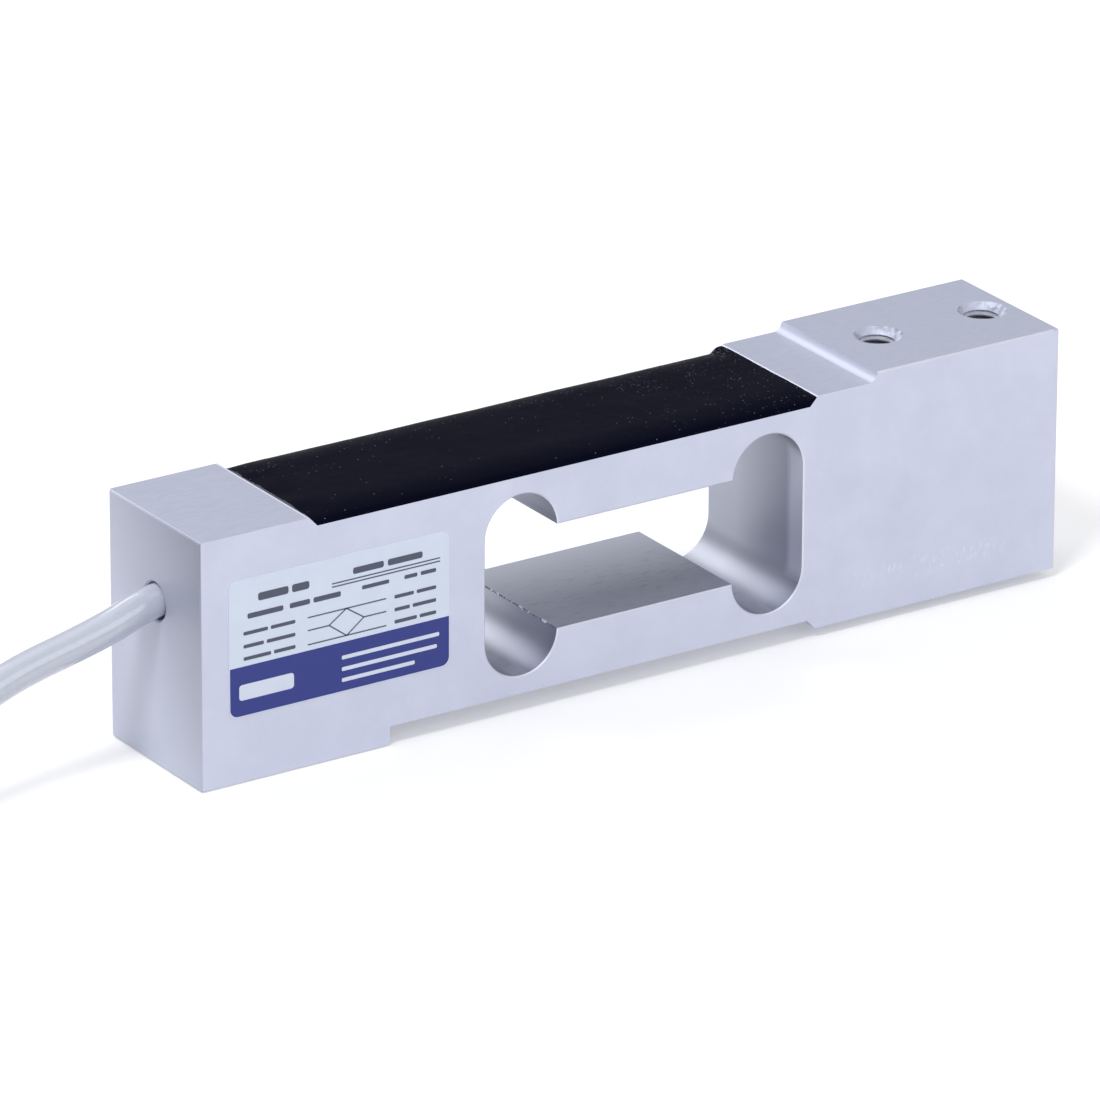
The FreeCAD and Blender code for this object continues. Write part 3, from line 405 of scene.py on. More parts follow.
# Black glazed ceramic chips with bright tinned caps.
CAP_START = 1.15
for name in ["span_resistor_1", "span_resistor_2", "zero_balance_resistor"]:
    low, high = box_of(name)
    material, tree, shader, in_mm = new_material("chip_ceramic_" + name, 0.3)
    along = add_node(tree, "SeparateXYZ", {0: in_mm}).outputs["X"]
    middle = (low[0] + high[0]) * 500
    off = add_node(tree, "Math", {0: along, 1: middle}, operation="SUBTRACT").outputs[0]
    off = add_node(tree, "Math", {0: off}, operation="ABSOLUTE").outputs[0]
    is_cap = add_node(tree, "Math", {0: off, 1: CAP_START}, operation="GREATER_THAN").outputs[0]
    chip = add_node(tree, "Mix", {0: is_cap, 6: srgb("15161A"), 7: srgb("C9CBCF")},
                    data_type="RGBA").outputs[2]
    tree.links.new(chip, shader.inputs["Base Color"])
    tree.links.new(is_cap, shader.inputs["Metallic"])
    dress(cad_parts[name], material)

# Solder and tinned wire: bright silver, a little clouded.
material, tree, shader, in_mm = new_material("solder", 0.25, metallic=1.0)
cloud = add_node(tree, "TexNoise", {"Vector": in_mm, "Scale": 6.0}).outputs["Fac"]
metal = add_node(tree, "Mix", {0: cloud, 6: srgb("B9BBC0"), 7: srgb("DFE1E5")}, data_type="RGBA").outputs[2]
tree.links.new(metal, shader.inputs["Base Color"])
for name in ["solder_joints", "gauge_lead_wires"]:
    dress(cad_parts[name], material)


# ---- cores of the lead ----
# Six stranded cores in coloured PVC, with the usual colours of a six-wire bridge, run from the
# stripped jacket up through the passage to the board. They lie in the compound.

CORE_COLOURS = {"brown": "6B4226", "black": "1B1B1E", "white": "E6E7E6", "green": "1F7A3D",
                "red": "B5201E", "blue": "2347A5"}
STRIPPED = 6.0


def pvc_core(name, hex_colour, tip=None):
    """Coloured PVC; on a tail, the last few millimetres before its tip are bare tinned strands."""
    material, tree, shader, in_mm = new_material(name, 0.35)
    cloud = add_node(tree, "TexNoise", {"Vector": in_mm, "Scale": 1.2, "Detail": 3.0}).outputs["Fac"]
    tone = add_node(tree, "MapRange", {"Value": cloud, "To Min": 0.8, "To Max": 1.15}).outputs[0]
    tint = add_node(tree, "VectorMath", {0: srgb(hex_colour)[:3], "Scale": tone},
                    operation="SCALE").outputs[0]
    if tip is not None:
        to_tip = add_node(tree, "VectorMath", {0: in_mm, 1: tip * 1000},
                          operation="DISTANCE").outputs["Value"]
        is_bare = add_node(tree, "Math", {0: to_tip, 1: STRIPPED}, operation="LESS_THAN").outputs[0]
        tint = add_node(tree, "Mix", {0: is_bare, 6: tint, 7: srgb("C2C2C6")}, data_type="RGBA").outputs[2]
        tree.links.new(is_bare, shader.inputs["Metallic"])
    tree.links.new(tint, shader.inputs["Base Color"])
    return material


for colour, hex_colour in CORE_COLOURS.items():
    dress(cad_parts["inner_core_" + colour], pvc_core("pvc_core_" + colour, hex_colour))


# ---- bore seal ----
# The same compound as on top, run into the bore round the jacket and on into the passage round the
# cores: dark and matt.

material, tree, shader, in_mm = new_material("bore_sealant", 0.6)
lumps = add_node(tree, "TexNoise", {"Vector": in_mm, "Scale": 1.5, "Detail": 3.0}).outputs["Fac"]
tone = add_node(tree, "Mix", {0: lumps, 6: srgb("1F2024"), 7: srgb("34363C")}, data_type="RGBA").outputs[2]
tree.links.new(tone, shader.inputs["Base Color"])
bump = add_node(tree, "Bump", {"Strength": 0.5, "Distance": 0.0002, "Height": lumps}).outputs[0]
tree.links.new(bump, shader.inputs["Normal"])
dress(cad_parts["cable_seal"], material)


# ---- sealing compound ----
# Black two-part compound, poured warm into the gauge channel and left to level. It clings to both
# ramps, stands full height at the load end, sinks towards the two long edges, and holds fine pale
# dust that settled while it was soft.

CHANNEL_START, CHANNEL_END = -0.0567, 0.0314
CHANNEL_FLOOR, CHANNEL_WIDTH = box_of("sealant_cover")[0][2], beam_high[1] - beam_low[1]
SHELF_LEVEL, RAMP_RUN = 0.0385, 0.0014
CROWN, LEFT_LIP, RIGHT_LIP = 0.0384, 0.0382, 0.0383
FULL_FROM, FULL_AT = 0.0287, 0.0305
SHOULDER_START, SHOULDER_RUN, SHOULDER_DROP = 0.0065, 0.006, 0.00125
THINNEST, WIDTH_SHARE, FULL_SHARE = 0.00008, 0.9995, 0.9
bpy.ops.mesh.primitive_grid_add(x_subdivisions=176, y_subdivisions=50, size=1)
potting = bpy.context.object
potting.name = potting.data.name = "potting"


def eased(x, start, end):
    """0 before start, 1 after end, and a smooth rise between them."""
    t = min(1.0, max(0.0, (x - start) / (end - start)))
    return t * t * (3 - 2 * t)


def ramp_x(end, towards, level):
    """Where a ramp of the channel stands at a given level."""
    return end + towards * RAMP_RUN * (SHELF_LEVEL - level) / (SHELF_LEVEL - CHANNEL_FLOOR)


for vertex in potting.data.vertices:
    u, y = vertex.co.x + 0.5, vertex.co.y * CHANNEL_WIDTH
    left_top = LEFT_LIP + 0.0002 * noise.noise(Vector((y * 300, 3.0, 0)))
    right_top = RIGHT_LIP + 0.00012 * noise.noise(Vector((y * 260, 9.0, 0)))
    x = (1 - u) * ramp_x(CHANNEL_START, 1, left_top) + u * ramp_x(CHANNEL_END, -1, right_top)
    shoulder = max(0.0, (abs(y) - SHOULDER_START) / SHOULDER_RUN)
    drop = SHOULDER_DROP * (1 - FULL_SHARE * eased(x, FULL_FROM, FULL_AT))
    level = CROWN - drop * (1 - math.sqrt(max(0.0, 1 - shoulder * shoulder * 0.98)))
    level += 0.00007 * noise.noise(Vector((x * 90, y * 130, 0)))
    level += 0.00002 * noise.noise(Vector((x * 600, y * 600, 0)))
    level -= (CROWN - left_top) * (1 - eased(x, CHANNEL_START, CHANNEL_START + SHOULDER_RUN))
    vertex.co = (x, y * WIDTH_SHARE, max(level, CHANNEL_FLOOR + THINNEST))
select_only(potting)
bpy.ops.object.mode_set(mode="EDIT")
bpy.ops.mesh.select_all(action="SELECT")
bpy.ops.mesh.extrude_region_move(TRANSFORM_OT_translate={"value": (0, 0, -0.0005)})
bpy.ops.object.mode_set(mode="OBJECT")
first, last = ramp_x(CHANNEL_START, 1, CHANNEL_FLOOR), ramp_x(CHANNEL_END, -1, CHANNEL_FLOOR)
for vertex in potting.data.vertices:
    if vertex.select:
        vertex.co = (max(first, min(last, vertex.co.x)), vertex.co.y, CHANNEL_FLOOR)
select_only(potting)
bpy.ops.object.mode_set(mode="EDIT")
bpy.ops.mesh.select_all(action="SELECT")
bpy.ops.mesh.remove_doubles(threshold=0.000001)
bpy.ops.mesh.normals_make_consistent(inside=False)
bpy.ops.object.mode_set(mode="OBJECT")
bpy.ops.object.shade_smooth_by_angle(angle=math.radians(50))
belongs(potting, "black_sealant", "sealant_cover")

# Filled black epoxy: a dull sheen, a few soft hollows, and dust specks 0.1 to 0.2 mm across that lie
# thickest near the edges and at the load end.
material, tree, shader, in_mm = new_material("potting_epoxy", 0.45)
shader.inputs["Specular IOR Level"].default_value = 0.02
spot = add_node(tree, "SeparateXYZ", {0: in_mm})
hollows = add_node(tree, "TexNoise", {"Vector": in_mm, "Scale": 0.25, "Detail": 4.0}).outputs["Fac"]
tone = add_node(tree, "Mix", {0: hollows, 6: srgb("020414"), 7: srgb("07091B")},
                data_type="RGBA").outputs[2]
# Painted reflection: a wavy strip along the left end, where the compound climbs the ramp, is painted mid
# grey as if it caught the light.
wave = add_node(tree, "TexNoise", {"Vector": in_mm, "Scale": 0.8}).outputs["Fac"]
sheen_strip_end = add_node(tree, "MapRange", {"Value": wave, "To Min": -56.3, "To Max": -55.5}).outputs[0]
lip_painted_sheen = add_node(tree, "Math", {0: spot.outputs["X"], 1: sheen_strip_end}, operation="LESS_THAN").outputs[0]
tone = add_node(tree, "Mix", {0: lip_painted_sheen, 6: tone, 7: srgb("5C5F6A")}, data_type="RGBA").outputs[2]
dust = add_node(tree, "TexVoronoi", {"Vector": in_mm, "Scale": 1.6, "Randomness": 1.0})
is_dust = add_node(tree, "MapRange", {"Value": dust.outputs["Distance"], "From Min": 0.08, "From Max": 0.17,
                                      "To Min": 1.0, "To Max": 0.0}).outputs[0]
chance = add_node(tree, "SeparateXYZ", {0: dust.outputs["Color"]}).outputs["X"]
near_edge = add_node(tree, "MapRange", {"Value": spot.outputs["Y"], "From Min": 0.0, "From Max": 12.0,
                                        "To Min": 0.06, "To Max": 0.6}).outputs[0]
near_end = add_node(tree, "MapRange", {"Value": spot.outputs["X"], "From Min": -5.0, "From Max": 28.0,
                                       "To Min": 0.0, "To Max": 0.4}).outputs[0]
share = add_node(tree, "Math", {0: near_edge, 1: near_end}, operation="ADD").outputs[0]
patches = add_node(tree, "TexNoise", {"Vector": in_mm, "Scale": 0.22, "Detail": 2.0}).outputs["Fac"]
patches = add_node(tree, "MapRange", {"Value": patches, "From Min": 0.3, "From Max": 0.65}).outputs[0]
share = add_node(tree, "Math", {0: share, 1: patches}, operation="MULTIPLY").outputs[0]
kept = add_node(tree, "Math", {0: chance, 1: share}, operation="LESS_THAN").outputs[0]
is_dust = add_node(tree, "Math", {0: is_dust, 1: kept}, operation="MULTIPLY").outputs[0]
fine = add_node(tree, "TexNoise", {"Vector": in_mm, "Scale": 2.6, "Detail": 1.0}).outputs["Fac"]
limit = add_node(tree, "MapRange",
                 {"Value": share, "From Max": 1.0, "To Min": 0.8, "To Max": 0.58}).outputs[0]
fine = add_node(tree, "Math", {0: fine, 1: limit}, operation="GREATER_THAN").outputs[0]
fine = add_node(tree, "Math", {0: fine, 1: 0.35}, operation="MULTIPLY").outputs[0]
is_dust = add_node(tree, "Math", {0: is_dust, 1: fine}, operation="MAXIMUM").outputs[0]
tone = add_node(tree, "Mix", {0: is_dust, 6: tone, 7: srgb("7C8085")}, data_type="RGBA").outputs[2]
tree.links.new(tone, shader.inputs["Base Color"])
rough = add_node(tree, "MapRange", {"Value": hollows, "To Min": 0.32, "To Max": 0.5}).outputs[0]
tree.links.new(rough, shader.inputs["Roughness"])
height = add_node(tree, "Math", {0: hollows, 1: is_dust}, operation="ADD").outputs[0]
bump = add_node(tree, "Bump", {"Strength": 0.4, "Distance": 0.0001, "Height": height}).outputs[0]
tree.links.new(bump, shader.inputs["Normal"])
dress(potting, material)


# ---- label ----
# Polyester film with a clear laminate, stuck to the front. The print is an even blue-white ground, a
# deep blue field along the bottom, plain rules and bars, and the bridge's wiring drawn as a diamond.

label_low, label_high = box_of("label")
LABEL_LEFT, LABEL_FACE, LABEL_TOP = label_low[0], label_low[1], label_high[2]
LABEL_LENGTH, INK = label_high[0] - label_low[0], 0.00002


def label_film(name, hex_colour, roughness):
    """Printed and laminated film: its ink, a soft gloss, and a faint unevenness from the rolling."""
    material, tree, shader, in_mm = new_material(name, roughness)
    cloud = add_node(tree, "TexNoise", {"Vector": in_mm, "Scale": 0.3, "Detail": 3.0}).outputs["Fac"]
    tone = add_node(tree, "MapRange", {"Value": cloud, "To Min": 0.95, "To Max": 1.05}).outputs[0]
    tint = add_node(tree, "VectorMath", {0: srgb(hex_colour)[:3], "Scale": tone},
                    operation="SCALE").outputs[0]
    tree.links.new(tint, shader.inputs["Base Color"])
    bump = add_node(tree, "Bump", {"Strength": 0.1, "Distance": 0.0001, "Height": cloud}).outputs[0]
    tree.links.new(bump, shader.inputs["Normal"])
    shader.inputs["Coat Weight"].default_value = 0.1
    return material


def print_field(name, left, top, length, height, end_painted_shade, material, lift=1, square_top=False):
    """A field of ink with rounded corners, in millimetres from the label's top left corner."""
    bpy.ops.mesh.primitive_plane_add(size=1)
    field = bpy.context.object
    field.name = field.data.name = name
    field.scale = (length / 1000, height / 1000, 1)
    apply_place(field)
    bpy.ops.object.mode_set(mode="EDIT")
    bpy.ops.mesh.select_all(action="DESELECT")
    bpy.ops.object.mode_set(mode="OBJECT")
    for vertex in field.data.vertices:
        vertex.select = vertex.co.y < 0 or not square_top
    bpy.ops.object.mode_set(mode="EDIT")
    bpy.ops.mesh.bevel(offset=end_painted_shade / 1000, segments=6, affect="VERTICES")
    bpy.ops.mesh.select_all(action="SELECT")
    bpy.ops.mesh.extrude_region_move(TRANSFORM_OT_translate={"value": (0, 0, INK)})
    bpy.ops.object.mode_set(mode="OBJECT")
    field.rotation_euler = (math.pi / 2, 0, 0)
    field.location = (LABEL_LEFT + (left + length / 2) / 1000, LABEL_FACE - (lift - 1) * INK,
                      LABEL_TOP - (top + height / 2) / 1000)
    apply_place(field)
    bpy.ops.object.mode_set(mode="EDIT")
    bpy.ops.mesh.select_all(action="SELECT")
    bpy.ops.mesh.normals_make_consistent(inside=False)
    bpy.ops.object.mode_set(mode="OBJECT")
    dress(field, material)
    return field


def print_line(name, start, end, width, material):
    """A ruled line between two places on the label."""
    run = Vector((end[0] - start[0], start[1] - end[1]))
    field = print_field(name, -run.length / 2, -width / 2, run.length, width, width * 0.3, material)
    middle = Vector((LABEL_LEFT, 0, LABEL_TOP))
    shift = Vector((LABEL_LEFT + (start[0] + end[0]) / 2000, 0, LABEL_TOP - (start[1] + end[1]) / 2000))
    turn = Matrix.Rotation(-math.atan2(run.y, run.x), 4, "Y")
    field.data.transform(Matrix.Translation(shift) @ turn @ Matrix.Translation(-middle))
    return field


def join_print(name, fields):
    """Makes one piece of several fields of the same ink."""
    select_only(*fields)
    bpy.ops.object.join()
    joined = bpy.context.object
    joined.name = joined.data.name = name
    belongs(joined, "label_film")
    return joined


dress(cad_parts["label"], label_film("polyester_label_film", "DCE7F7", 0.35))
blue_ink = label_film("blue_ink", "1F2E86", 0.4)
dark_ink = label_film("dark_ink", "4A5064", 0.4)
pale_ink = label_film("pale_ink", "DDE5F5", 0.4)

# Each bar is its left, top, length and height in millimetres.
bars = [(4.9, 2.6, 5.1, 1.2), (10.6, 2.6, 2.9, 1.2), (20.9, 2.3, 5.2, 1.0), (26.8, 2.3, 5.9, 1.0),
        (3.1, 5.4, 6.0, 0.8), (10.2, 5.4, 3.4, 0.8), (14.2, 5.4, 4.6, 0.8), (22.4, 5.4, 4.6, 0.6),
        (29.6, 5.4, 2.2, 0.6), (32.4, 5.4, 2.6, 0.6)]
for row, split in ((8.1, 4.1), (10.1, 3.4), (12.0, 4.6)):
    bars += [(2.4, row, split, 0.55), (2.9 + split, row, 8.2 - split, 0.55),
             (27.9, row, split - 0.8, 0.55), (27.6 + split, row, 7.4 - split, 0.55)]
fields = [print_field("bar", *bar, bar[3] * 0.3, dark_ink) for bar in bars]
diamond = [(19.75, 8.3), (22.7, 10.3), (19.75, 12.5), (16.8, 10.3)]
rules = [((17.3, 4.0), (35.7, 4.0)), ((17.3, 4.5), (35.7, 4.5)), ((13.2, 8.3), (26.5, 8.3)),
         ((13.2, 12.5), (26.5, 12.5)), ((13.2, 10.3), (16.8, 10.3)), ((22.7, 10.3), (26.5, 10.3))]
rules += list(zip(diamond, diamond[1:] + diamond[:1]))
fields += [print_line("rule", start, end, 0.2, dark_ink) for start, end in rules]
join_print("label_print", fields)
band = print_field("label_band", 0.1, 13.4, LABEL_LENGTH * 1000 - 0.2, 7.6, 1.3, blue_ink, square_top=True)
belongs(band, "label_film")
pale = [print_field("bar", 1.6, 16.2, 9.2, 2.4, 0.5, pale_ink, lift=2)]
pale += [print_field("bar", 18.9, row, length, 0.6, 0.2, pale_ink, lift=2)
         for row, length in ((15.5, 16.6), (17.3, 16.2), (19.0, 12.4))]
join_print("label_pale_print", pale)


# ---- end sleeve ----
# A black heat-shrink sleeve, 14 mm long, over the end of the jacket. Past the jacket it has drawn
# in round the bundle of cores, so its mouth is narrower.

SLEEVE_WALL = 0.0004
INNER_TURN, END_HEIGHT, MOUTH_AT = 0.0201, 0.0029, 728
coil_middle = Vector((-0.1478, 0.0157, 0.0))


def on_coil(radius, turned, height):
    """A place on the coil, clockwise from where the lead joins it."""
    turn = math.radians(-90 - turned)
    return coil_middle + Vector((radius * math.cos(turn), radius * math.sin(turn), height))


curve = bpy.data.curves.new("sleeve", "CURVE")
curve.dimensions = "3D"
curve.bevel_depth = 1.0
curve.bevel_resolution = 8
spline = curve.splines.new("NURBS")

# Degrees round the coil, and the sleeve's radius there.
sleeve_radii = [(turned, 0.00288) for turned in (688, 696, 704, 712, 717)]
sleeve_radii += [(720.5, 0.00285), (723, 0.0025), (725.5, 0.0023), (MOUTH_AT, 0.00225)]
spline.points.add(len(sleeve_radii) - 1)
for point, (turned, radius) in zip(spline.points, sleeve_radii):
    point.co = (*on_coil(INNER_TURN, turned, END_HEIGHT), 1.0)
    point.radius = radius
spline.order_u = 3
spline.use_endpoint_u = True
spline.resolution_u = 6
sleeve = bpy.data.objects.new("sleeve", curve)
bpy.context.collection.objects.link(sleeve)
select_only(sleeve)
bpy.ops.object.convert(target="MESH")
wall = sleeve.modifiers.new("wall", "SOLIDIFY")
wall.thickness = SLEEVE_WALL
wall.offset = -1
bpy.ops.object.modifier_apply(modifier=wall.name)
bpy.ops.object.shade_smooth_by_angle(angle=math.radians(50))
belongs(sleeve, "sleeve_plastic", "end_sleeve")

# Cross-linked polyolefin, semi-matt, with faint rings a millimetre or so apart where it shrank.
material, tree, shader, in_mm = new_material("heat_shrink_polyolefin", 0.4)
wrinkles = add_node(tree, "TexNoise", {"Vector": in_mm, "Scale": 0.9, "Detail": 4.0}).outputs["Fac"]
tone = add_node(tree, "Mix", {0: wrinkles, 6: srgb("131316"), 7: srgb("232327")},
                data_type="RGBA").outputs[2]
tree.links.new(tone, shader.inputs["Base Color"])
bump = add_node(tree, "Bump", {"Strength": 0.5, "Distance": 0.0002, "Height": wrinkles}).outputs[0]
tree.links.new(bump, shader.inputs["Normal"])
dress(sleeve, material)


# ---- stripped ends ----
# The six cores and the screen's drain wire fan out of the sleeve. Each core is stripped for 6 mm
# and its strands are twisted and tinned, ready for a terminal.

sleeve_mouth = on_coil(INNER_TURN, MOUTH_AT, END_HEIGHT)
for colour, hex_colour in CORE_COLOURS.items():
    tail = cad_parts["tail_core_" + colour]
    tip = max((vertex.co for vertex in tail.data.vertices), key=lambda place: (place - sleeve_mouth).length)
    dress(tail, pvc_core("pvc_tail_" + colour, hex_colour, tip))

# Tinned copper strands: a duller silver than solder.
material, tree, shader, in_mm = new_material("tinned_copper", 0.3, metallic=1.0)
cloud = add_node(tree, "TexNoise", {"Vector": in_mm, "Scale": 5.0}).outputs["Fac"]
metal = add_node(tree, "Mix", {0: cloud, 6: srgb("A9A9AB"), 7: srgb("CFCFD2")}, data_type="RGBA").outputs[2]
tree.links.new(metal, shader.inputs["Base Color"])
dress(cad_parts["shield_drain"], material)


# ---- coil tie ----
# A flat plastic tie, 3 mm wide, with a wire in it: bent once round both layers of the coil, its two
# ends twisted together on the inside.

TIE_X, TIE_Y, TIE_Z = -0.1735, 0.0157, 0.0058
TIE_ACROSS, TIE_HEIGHT, TIE_CORNER, TIE_WIDTH, TIE_THICKNESS = 0.0057, 0.0111, 0.0022, 0.003, 0.0005
STRAND_RADIUS, STRAND_OFFSET, TWIST_PITCH, TWIST_TURNS = 0.00026, 0.00024, 0.0023, 3
TWIST_START = (-0.1708, TIE_Y, 0.00775)
bpy.ops.mesh.primitive_plane_add(size=1)
tie = bpy.context.object
tie.scale = (TIE_ACROSS, TIE_HEIGHT, 1)
apply_place(tie)
bpy.ops.object.mode_set(mode="EDIT")
bpy.ops.mesh.select_all(action="SELECT")
bpy.ops.mesh.bevel(offset=TIE_CORNER, segments=8, affect="VERTICES")
bpy.ops.mesh.select_all(action="SELECT")
bpy.ops.mesh.delete(type="ONLY_FACE")
bpy.ops.mesh.select_all(action="SELECT")
bpy.ops.mesh.extrude_region_move(TRANSFORM_OT_translate={"value": (0, 0, TIE_WIDTH)})
bpy.ops.object.mode_set(mode="OBJECT")
wall = tie.modifiers.new("wall", "SOLIDIFY")
wall.thickness = TIE_THICKNESS
wall.offset = 0
wall.use_even_offset = True
bpy.ops.object.modifier_apply(modifier=wall.name)
tie.rotation_euler = (math.pi / 2, 0, 0)
tie.location = (TIE_X, TIE_Y + TIE_WIDTH / 2, TIE_Z)
apply_place(tie)
bpy.ops.object.shade_smooth_by_angle(angle=math.radians(35))

strands = []
for half_turn in (0, 1):
    bpy.ops.mesh.primitive_circle_add(vertices=10, radius=STRAND_RADIUS, fill_type="NOTHING")
    strand = bpy.context.object
    strand.rotation_euler = (math.pi / 2, 0, 0)
    strand.location = (STRAND_OFFSET, 0, 0)
    apply_place(strand)
    twist = strand.modifiers.new("twist", "SCREW")
    twist.axis = "Z"
    twist.screw_offset = TWIST_PITCH
    twist.iterations = TWIST_TURNS
    twist.steps = twist.render_steps = 20
    bpy.ops.object.modifier_apply(modifier=twist.name)
    close_ends(sides=12)
    strand.data.transform(Matrix.Rotation(math.pi * half_turn, 4, "Z"))
    strand.data.transform(Matrix.Rotation(math.pi / 2, 4, "Y"))
    strand.data.transform(Matrix.Translation(TWIST_START))
    bpy.ops.object.shade_smooth_by_angle(angle=math.radians(50))
    strands.append(strand)
select_only(tie, *strands)
bpy.ops.object.join()
tie.name = tie.data.name = "tie"
belongs(tie, "tie_plastic", "coil_tie")

# Extruded white plastic, matt, with faint unevenness half a millimetre long.
material, tree, shader, in_mm = new_material("tie_plastic_white", 0.5)
ribs = add_node(tree, "TexNoise", {"Vector": in_mm, "Scale": 2.0, "Detail": 3.0}).outputs["Fac"]
tone = add_node(tree, "Mix", {0: ribs, 6: srgb("DDDEDC"), 7: srgb("F0F0EE")}, data_type="RGBA").outputs[2]
tree.links.new(tone, shader.inputs["Base Color"])
bump = add_node(tree, "Bump", {"Strength": 0.4, "Distance": 0.0001, "Height": ribs}).outputs[0]
tree.links.new(bump, shader.inputs["Normal"])
dress(tie, material)


# ---- lead ----
# Round screened lead, PVC jacket 5 mm across, extruded and fairly stiff. It leaves the bore level,
# comes down to the floor in one easy curve, and its spare length is wound nearly twice round.

LEAD_DIAMETER, JACKET_END_AT = 0.005, 720
OUTER_TURN, STEP_IN = 0.0266, 0.0058
UPPER_LAYER, STEP_DOWN, END_RISE, TIE_RISE = 0.00775, 0.00515, 0.0003, 0.0006

# From inside the bore, where the stiff jacket rides high, down to the coil.
lead_points = [
    (-0.058, 0.0, 0.0255),
    (-0.0674, 0.0, 0.0258),
    (-0.0755, 0.0, 0.02577),
    (-0.084, -0.0002, 0.0226),
    (-0.1032, -0.0019, 0.0196),
    (-0.121, -0.0064, 0.0126),
    (-0.137, -0.010, UPPER_LAYER),
]

# In degrees round the coil: the lead lies on the upper layer up to 175 and on the lower one from 255,
# steps in to the inner turn from 500 to 590, and lifts over the tie at 90 in every turn.
for turned in range(15, 710, 30):
    radius = OUTER_TURN - STEP_IN * eased(turned, 500, 590)
    height = UPPER_LAYER - STEP_DOWN * eased(turned, 175, 255) + END_RISE * eased(turned, 670, 700)
    over_tie = TIE_RISE * (1 - min(1.0, abs(turned % 360 - 90) / 45))
    lead_points.append(on_coil(radius, turned, height + over_tie))
lead_points.append(on_coil(INNER_TURN, JACKET_END_AT, END_HEIGHT))

curve = bpy.data.curves.new("lead", "CURVE")
curve.dimensions = "3D"
curve.bevel_depth = 1.0
curve.bevel_resolution = 8
curve.use_fill_caps = True
spline = curve.splines.new("NURBS")
spline.points.add(len(lead_points) - 1)
for point, place in zip(spline.points, lead_points):
    point.co = (*place, 1.0)
    point.radius = LEAD_DIAMETER / 2
spline.order_u = 3
spline.use_endpoint_u = True
spline.resolution_u = 12
lead = bpy.data.objects.new("lead", curve)
bpy.context.collection.objects.link(lead)
belongs(lead, "lead_jacket", "cable_jacket", "cable_coil")
on_lead = [sleeve, tie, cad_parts["shield_drain"]]
on_lead += [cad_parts["tail_core_" + colour] for colour in CORE_COLOURS]

# Smooth grey PVC with a soft shine; the braid below gives it a faint unevenness about 1 mm long.
material, tree, shader, in_mm = new_material("pvc_jacket_light_grey", 0.15)
braid = add_node(tree, "TexNoise", {"Vector": in_mm, "Scale": 1.0, "Detail": 2.0}).outputs["Fac"]
tone = add_node(tree, "Mix", {0: braid, 6: srgb("BEC4D2"), 7: srgb("C9CEDB")}, data_type="RGBA").outputs[2]
tree.links.new(tone, shader.inputs["Base Color"])
bump = add_node(tree, "Bump", {"Strength": 0.15, "Distance": 0.0001, "Height": braid}).outputs[0]
tree.links.new(bump, shader.inputs["Normal"])
shader.inputs["Coat Weight"].default_value = 0.8
shader.inputs["Coat Roughness"].default_value = 0.1
dress(lead, material)


# ---- floor, light and camera ----
# A plain pale floor that runs out to a white background. Four soft boxes stand round the part: a weak
# one in front, the main one above the lead's end, one overhead and a wide one behind, over even fill.
# The camera stands 1.5 m off with a long lens.

bpy.ops.mesh.primitive_plane_add(size=8, location=(0, 0, -0.0001))
floor = bpy.context.object
floor.name = "studio_floor"
material, tree, shader, in_mm = new_material("studio_paper", 0.9)
shader.inputs["Base Color"].default_value = (0.82, 0.82, 0.82, 1)
shader.inputs["Specular IOR Level"].default_value = 0.0
path = add_node(tree, "LightPath", {})
seen = add_node(tree, "Math", {0: path.outputs["Is Camera Ray"], 1: path.outputs["Is Glossy Ray"]},
                operation="MAXIMUM").outputs[0]
seen = add_node(tree, "Math", {0: seen, 1: path.outputs["Is Transmission Ray"]},
                operation="MAXIMUM").outputs[0]
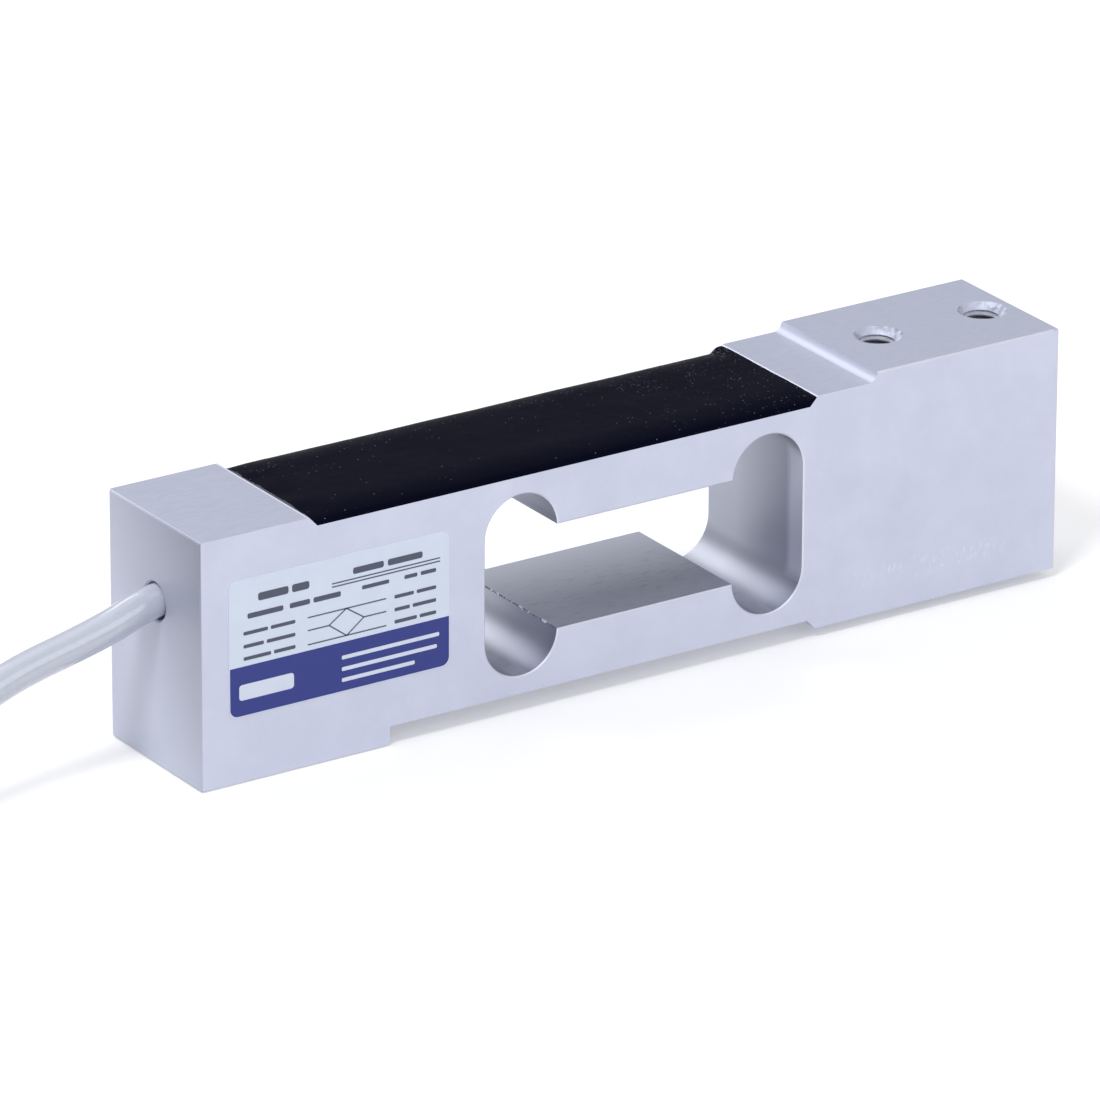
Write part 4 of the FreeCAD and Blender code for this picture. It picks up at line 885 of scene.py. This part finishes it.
# The paper glows a little to the camera, the more so the further out, and stays white behind the part.
out_from_part = add_node(tree, "VectorMath", {0: in_mm}, operation="LENGTH").outputs["Value"]
glow = add_node(tree, "MapRange", {"Value": out_from_part, "From Min": 150.0, "From Max": 600.0,
                                   "To Min": 0.27, "To Max": 0.5}).outputs[0]
lift = add_node(tree, "Math", {0: seen, 1: glow}, operation="MULTIPLY").outputs[0]
shader.inputs["Emission Color"].default_value = (1, 1, 1, 1)
tree.links.new(lift, shader.inputs["Emission Strength"])
dress(floor, material)

bpy.context.scene.view_settings.view_transform = "Standard"
world = bpy.data.worlds.new("studio")
bpy.context.scene.world = world
world.use_nodes = True
tree = world.node_tree
tree.nodes["Background"].inputs["Color"].default_value = (0.47, 0.47, 0.49, 1)


def soft_box(name, place, size, power):
    """A square lamp that faces the object."""
    lamp = bpy.data.objects.new(name, bpy.data.lights.new(name, "AREA"))
    lamp.data.size = size
    lamp.data.energy = power
    lamp.location = place
    lamp.rotation_mode = "QUATERNION"
    lamp.rotation_quaternion = Vector(place).to_track_quat("Z", "Y")
    bpy.context.collection.objects.link(lamp)


soft_box("front_soft_box", (0.35, -1.1, 0.75), 0.8, 3.0)
soft_box("left_soft_box", (-0.6, -0.35, 1.1), 0.3, 6.2)
soft_box("top_soft_box", (0.3, 0.45, 1.2), 0.8, 1.2)
soft_box("rear_soft_box", (-0.25, 1.15, 0.85), 0.9, 6.0)

camera_place = Vector((-0.78494, -1.18297, 0.59732))
away = Vector((-0.50838, -0.77346, 0.37856)).normalized()
azimuth, roll = math.radians(-33.3163), math.radians(0.19245)
level = Vector((math.cos(azimuth), math.sin(azimuth), 0))
upright = away.cross(level)
right = level * math.cos(roll) + upright * math.sin(roll)
up = upright * math.cos(roll) - level * math.sin(roll)
camera = bpy.data.objects.new("camera", bpy.data.cameras.new("camera"))
bpy.context.collection.objects.link(camera)
camera.matrix_world = Matrix((
    (right.x, up.x, away.x, camera_place.x),
    (right.y, up.y, away.y, camera_place.y),
    (right.z, up.z, away.z, camera_place.z),
    (0, 0, 0, 1),
))
camera.data.lens = 341.59
camera.data.sensor_width = 36.0
camera.data.clip_start, camera.data.clip_end = 0.05, 30
bpy.context.scene.camera = camera
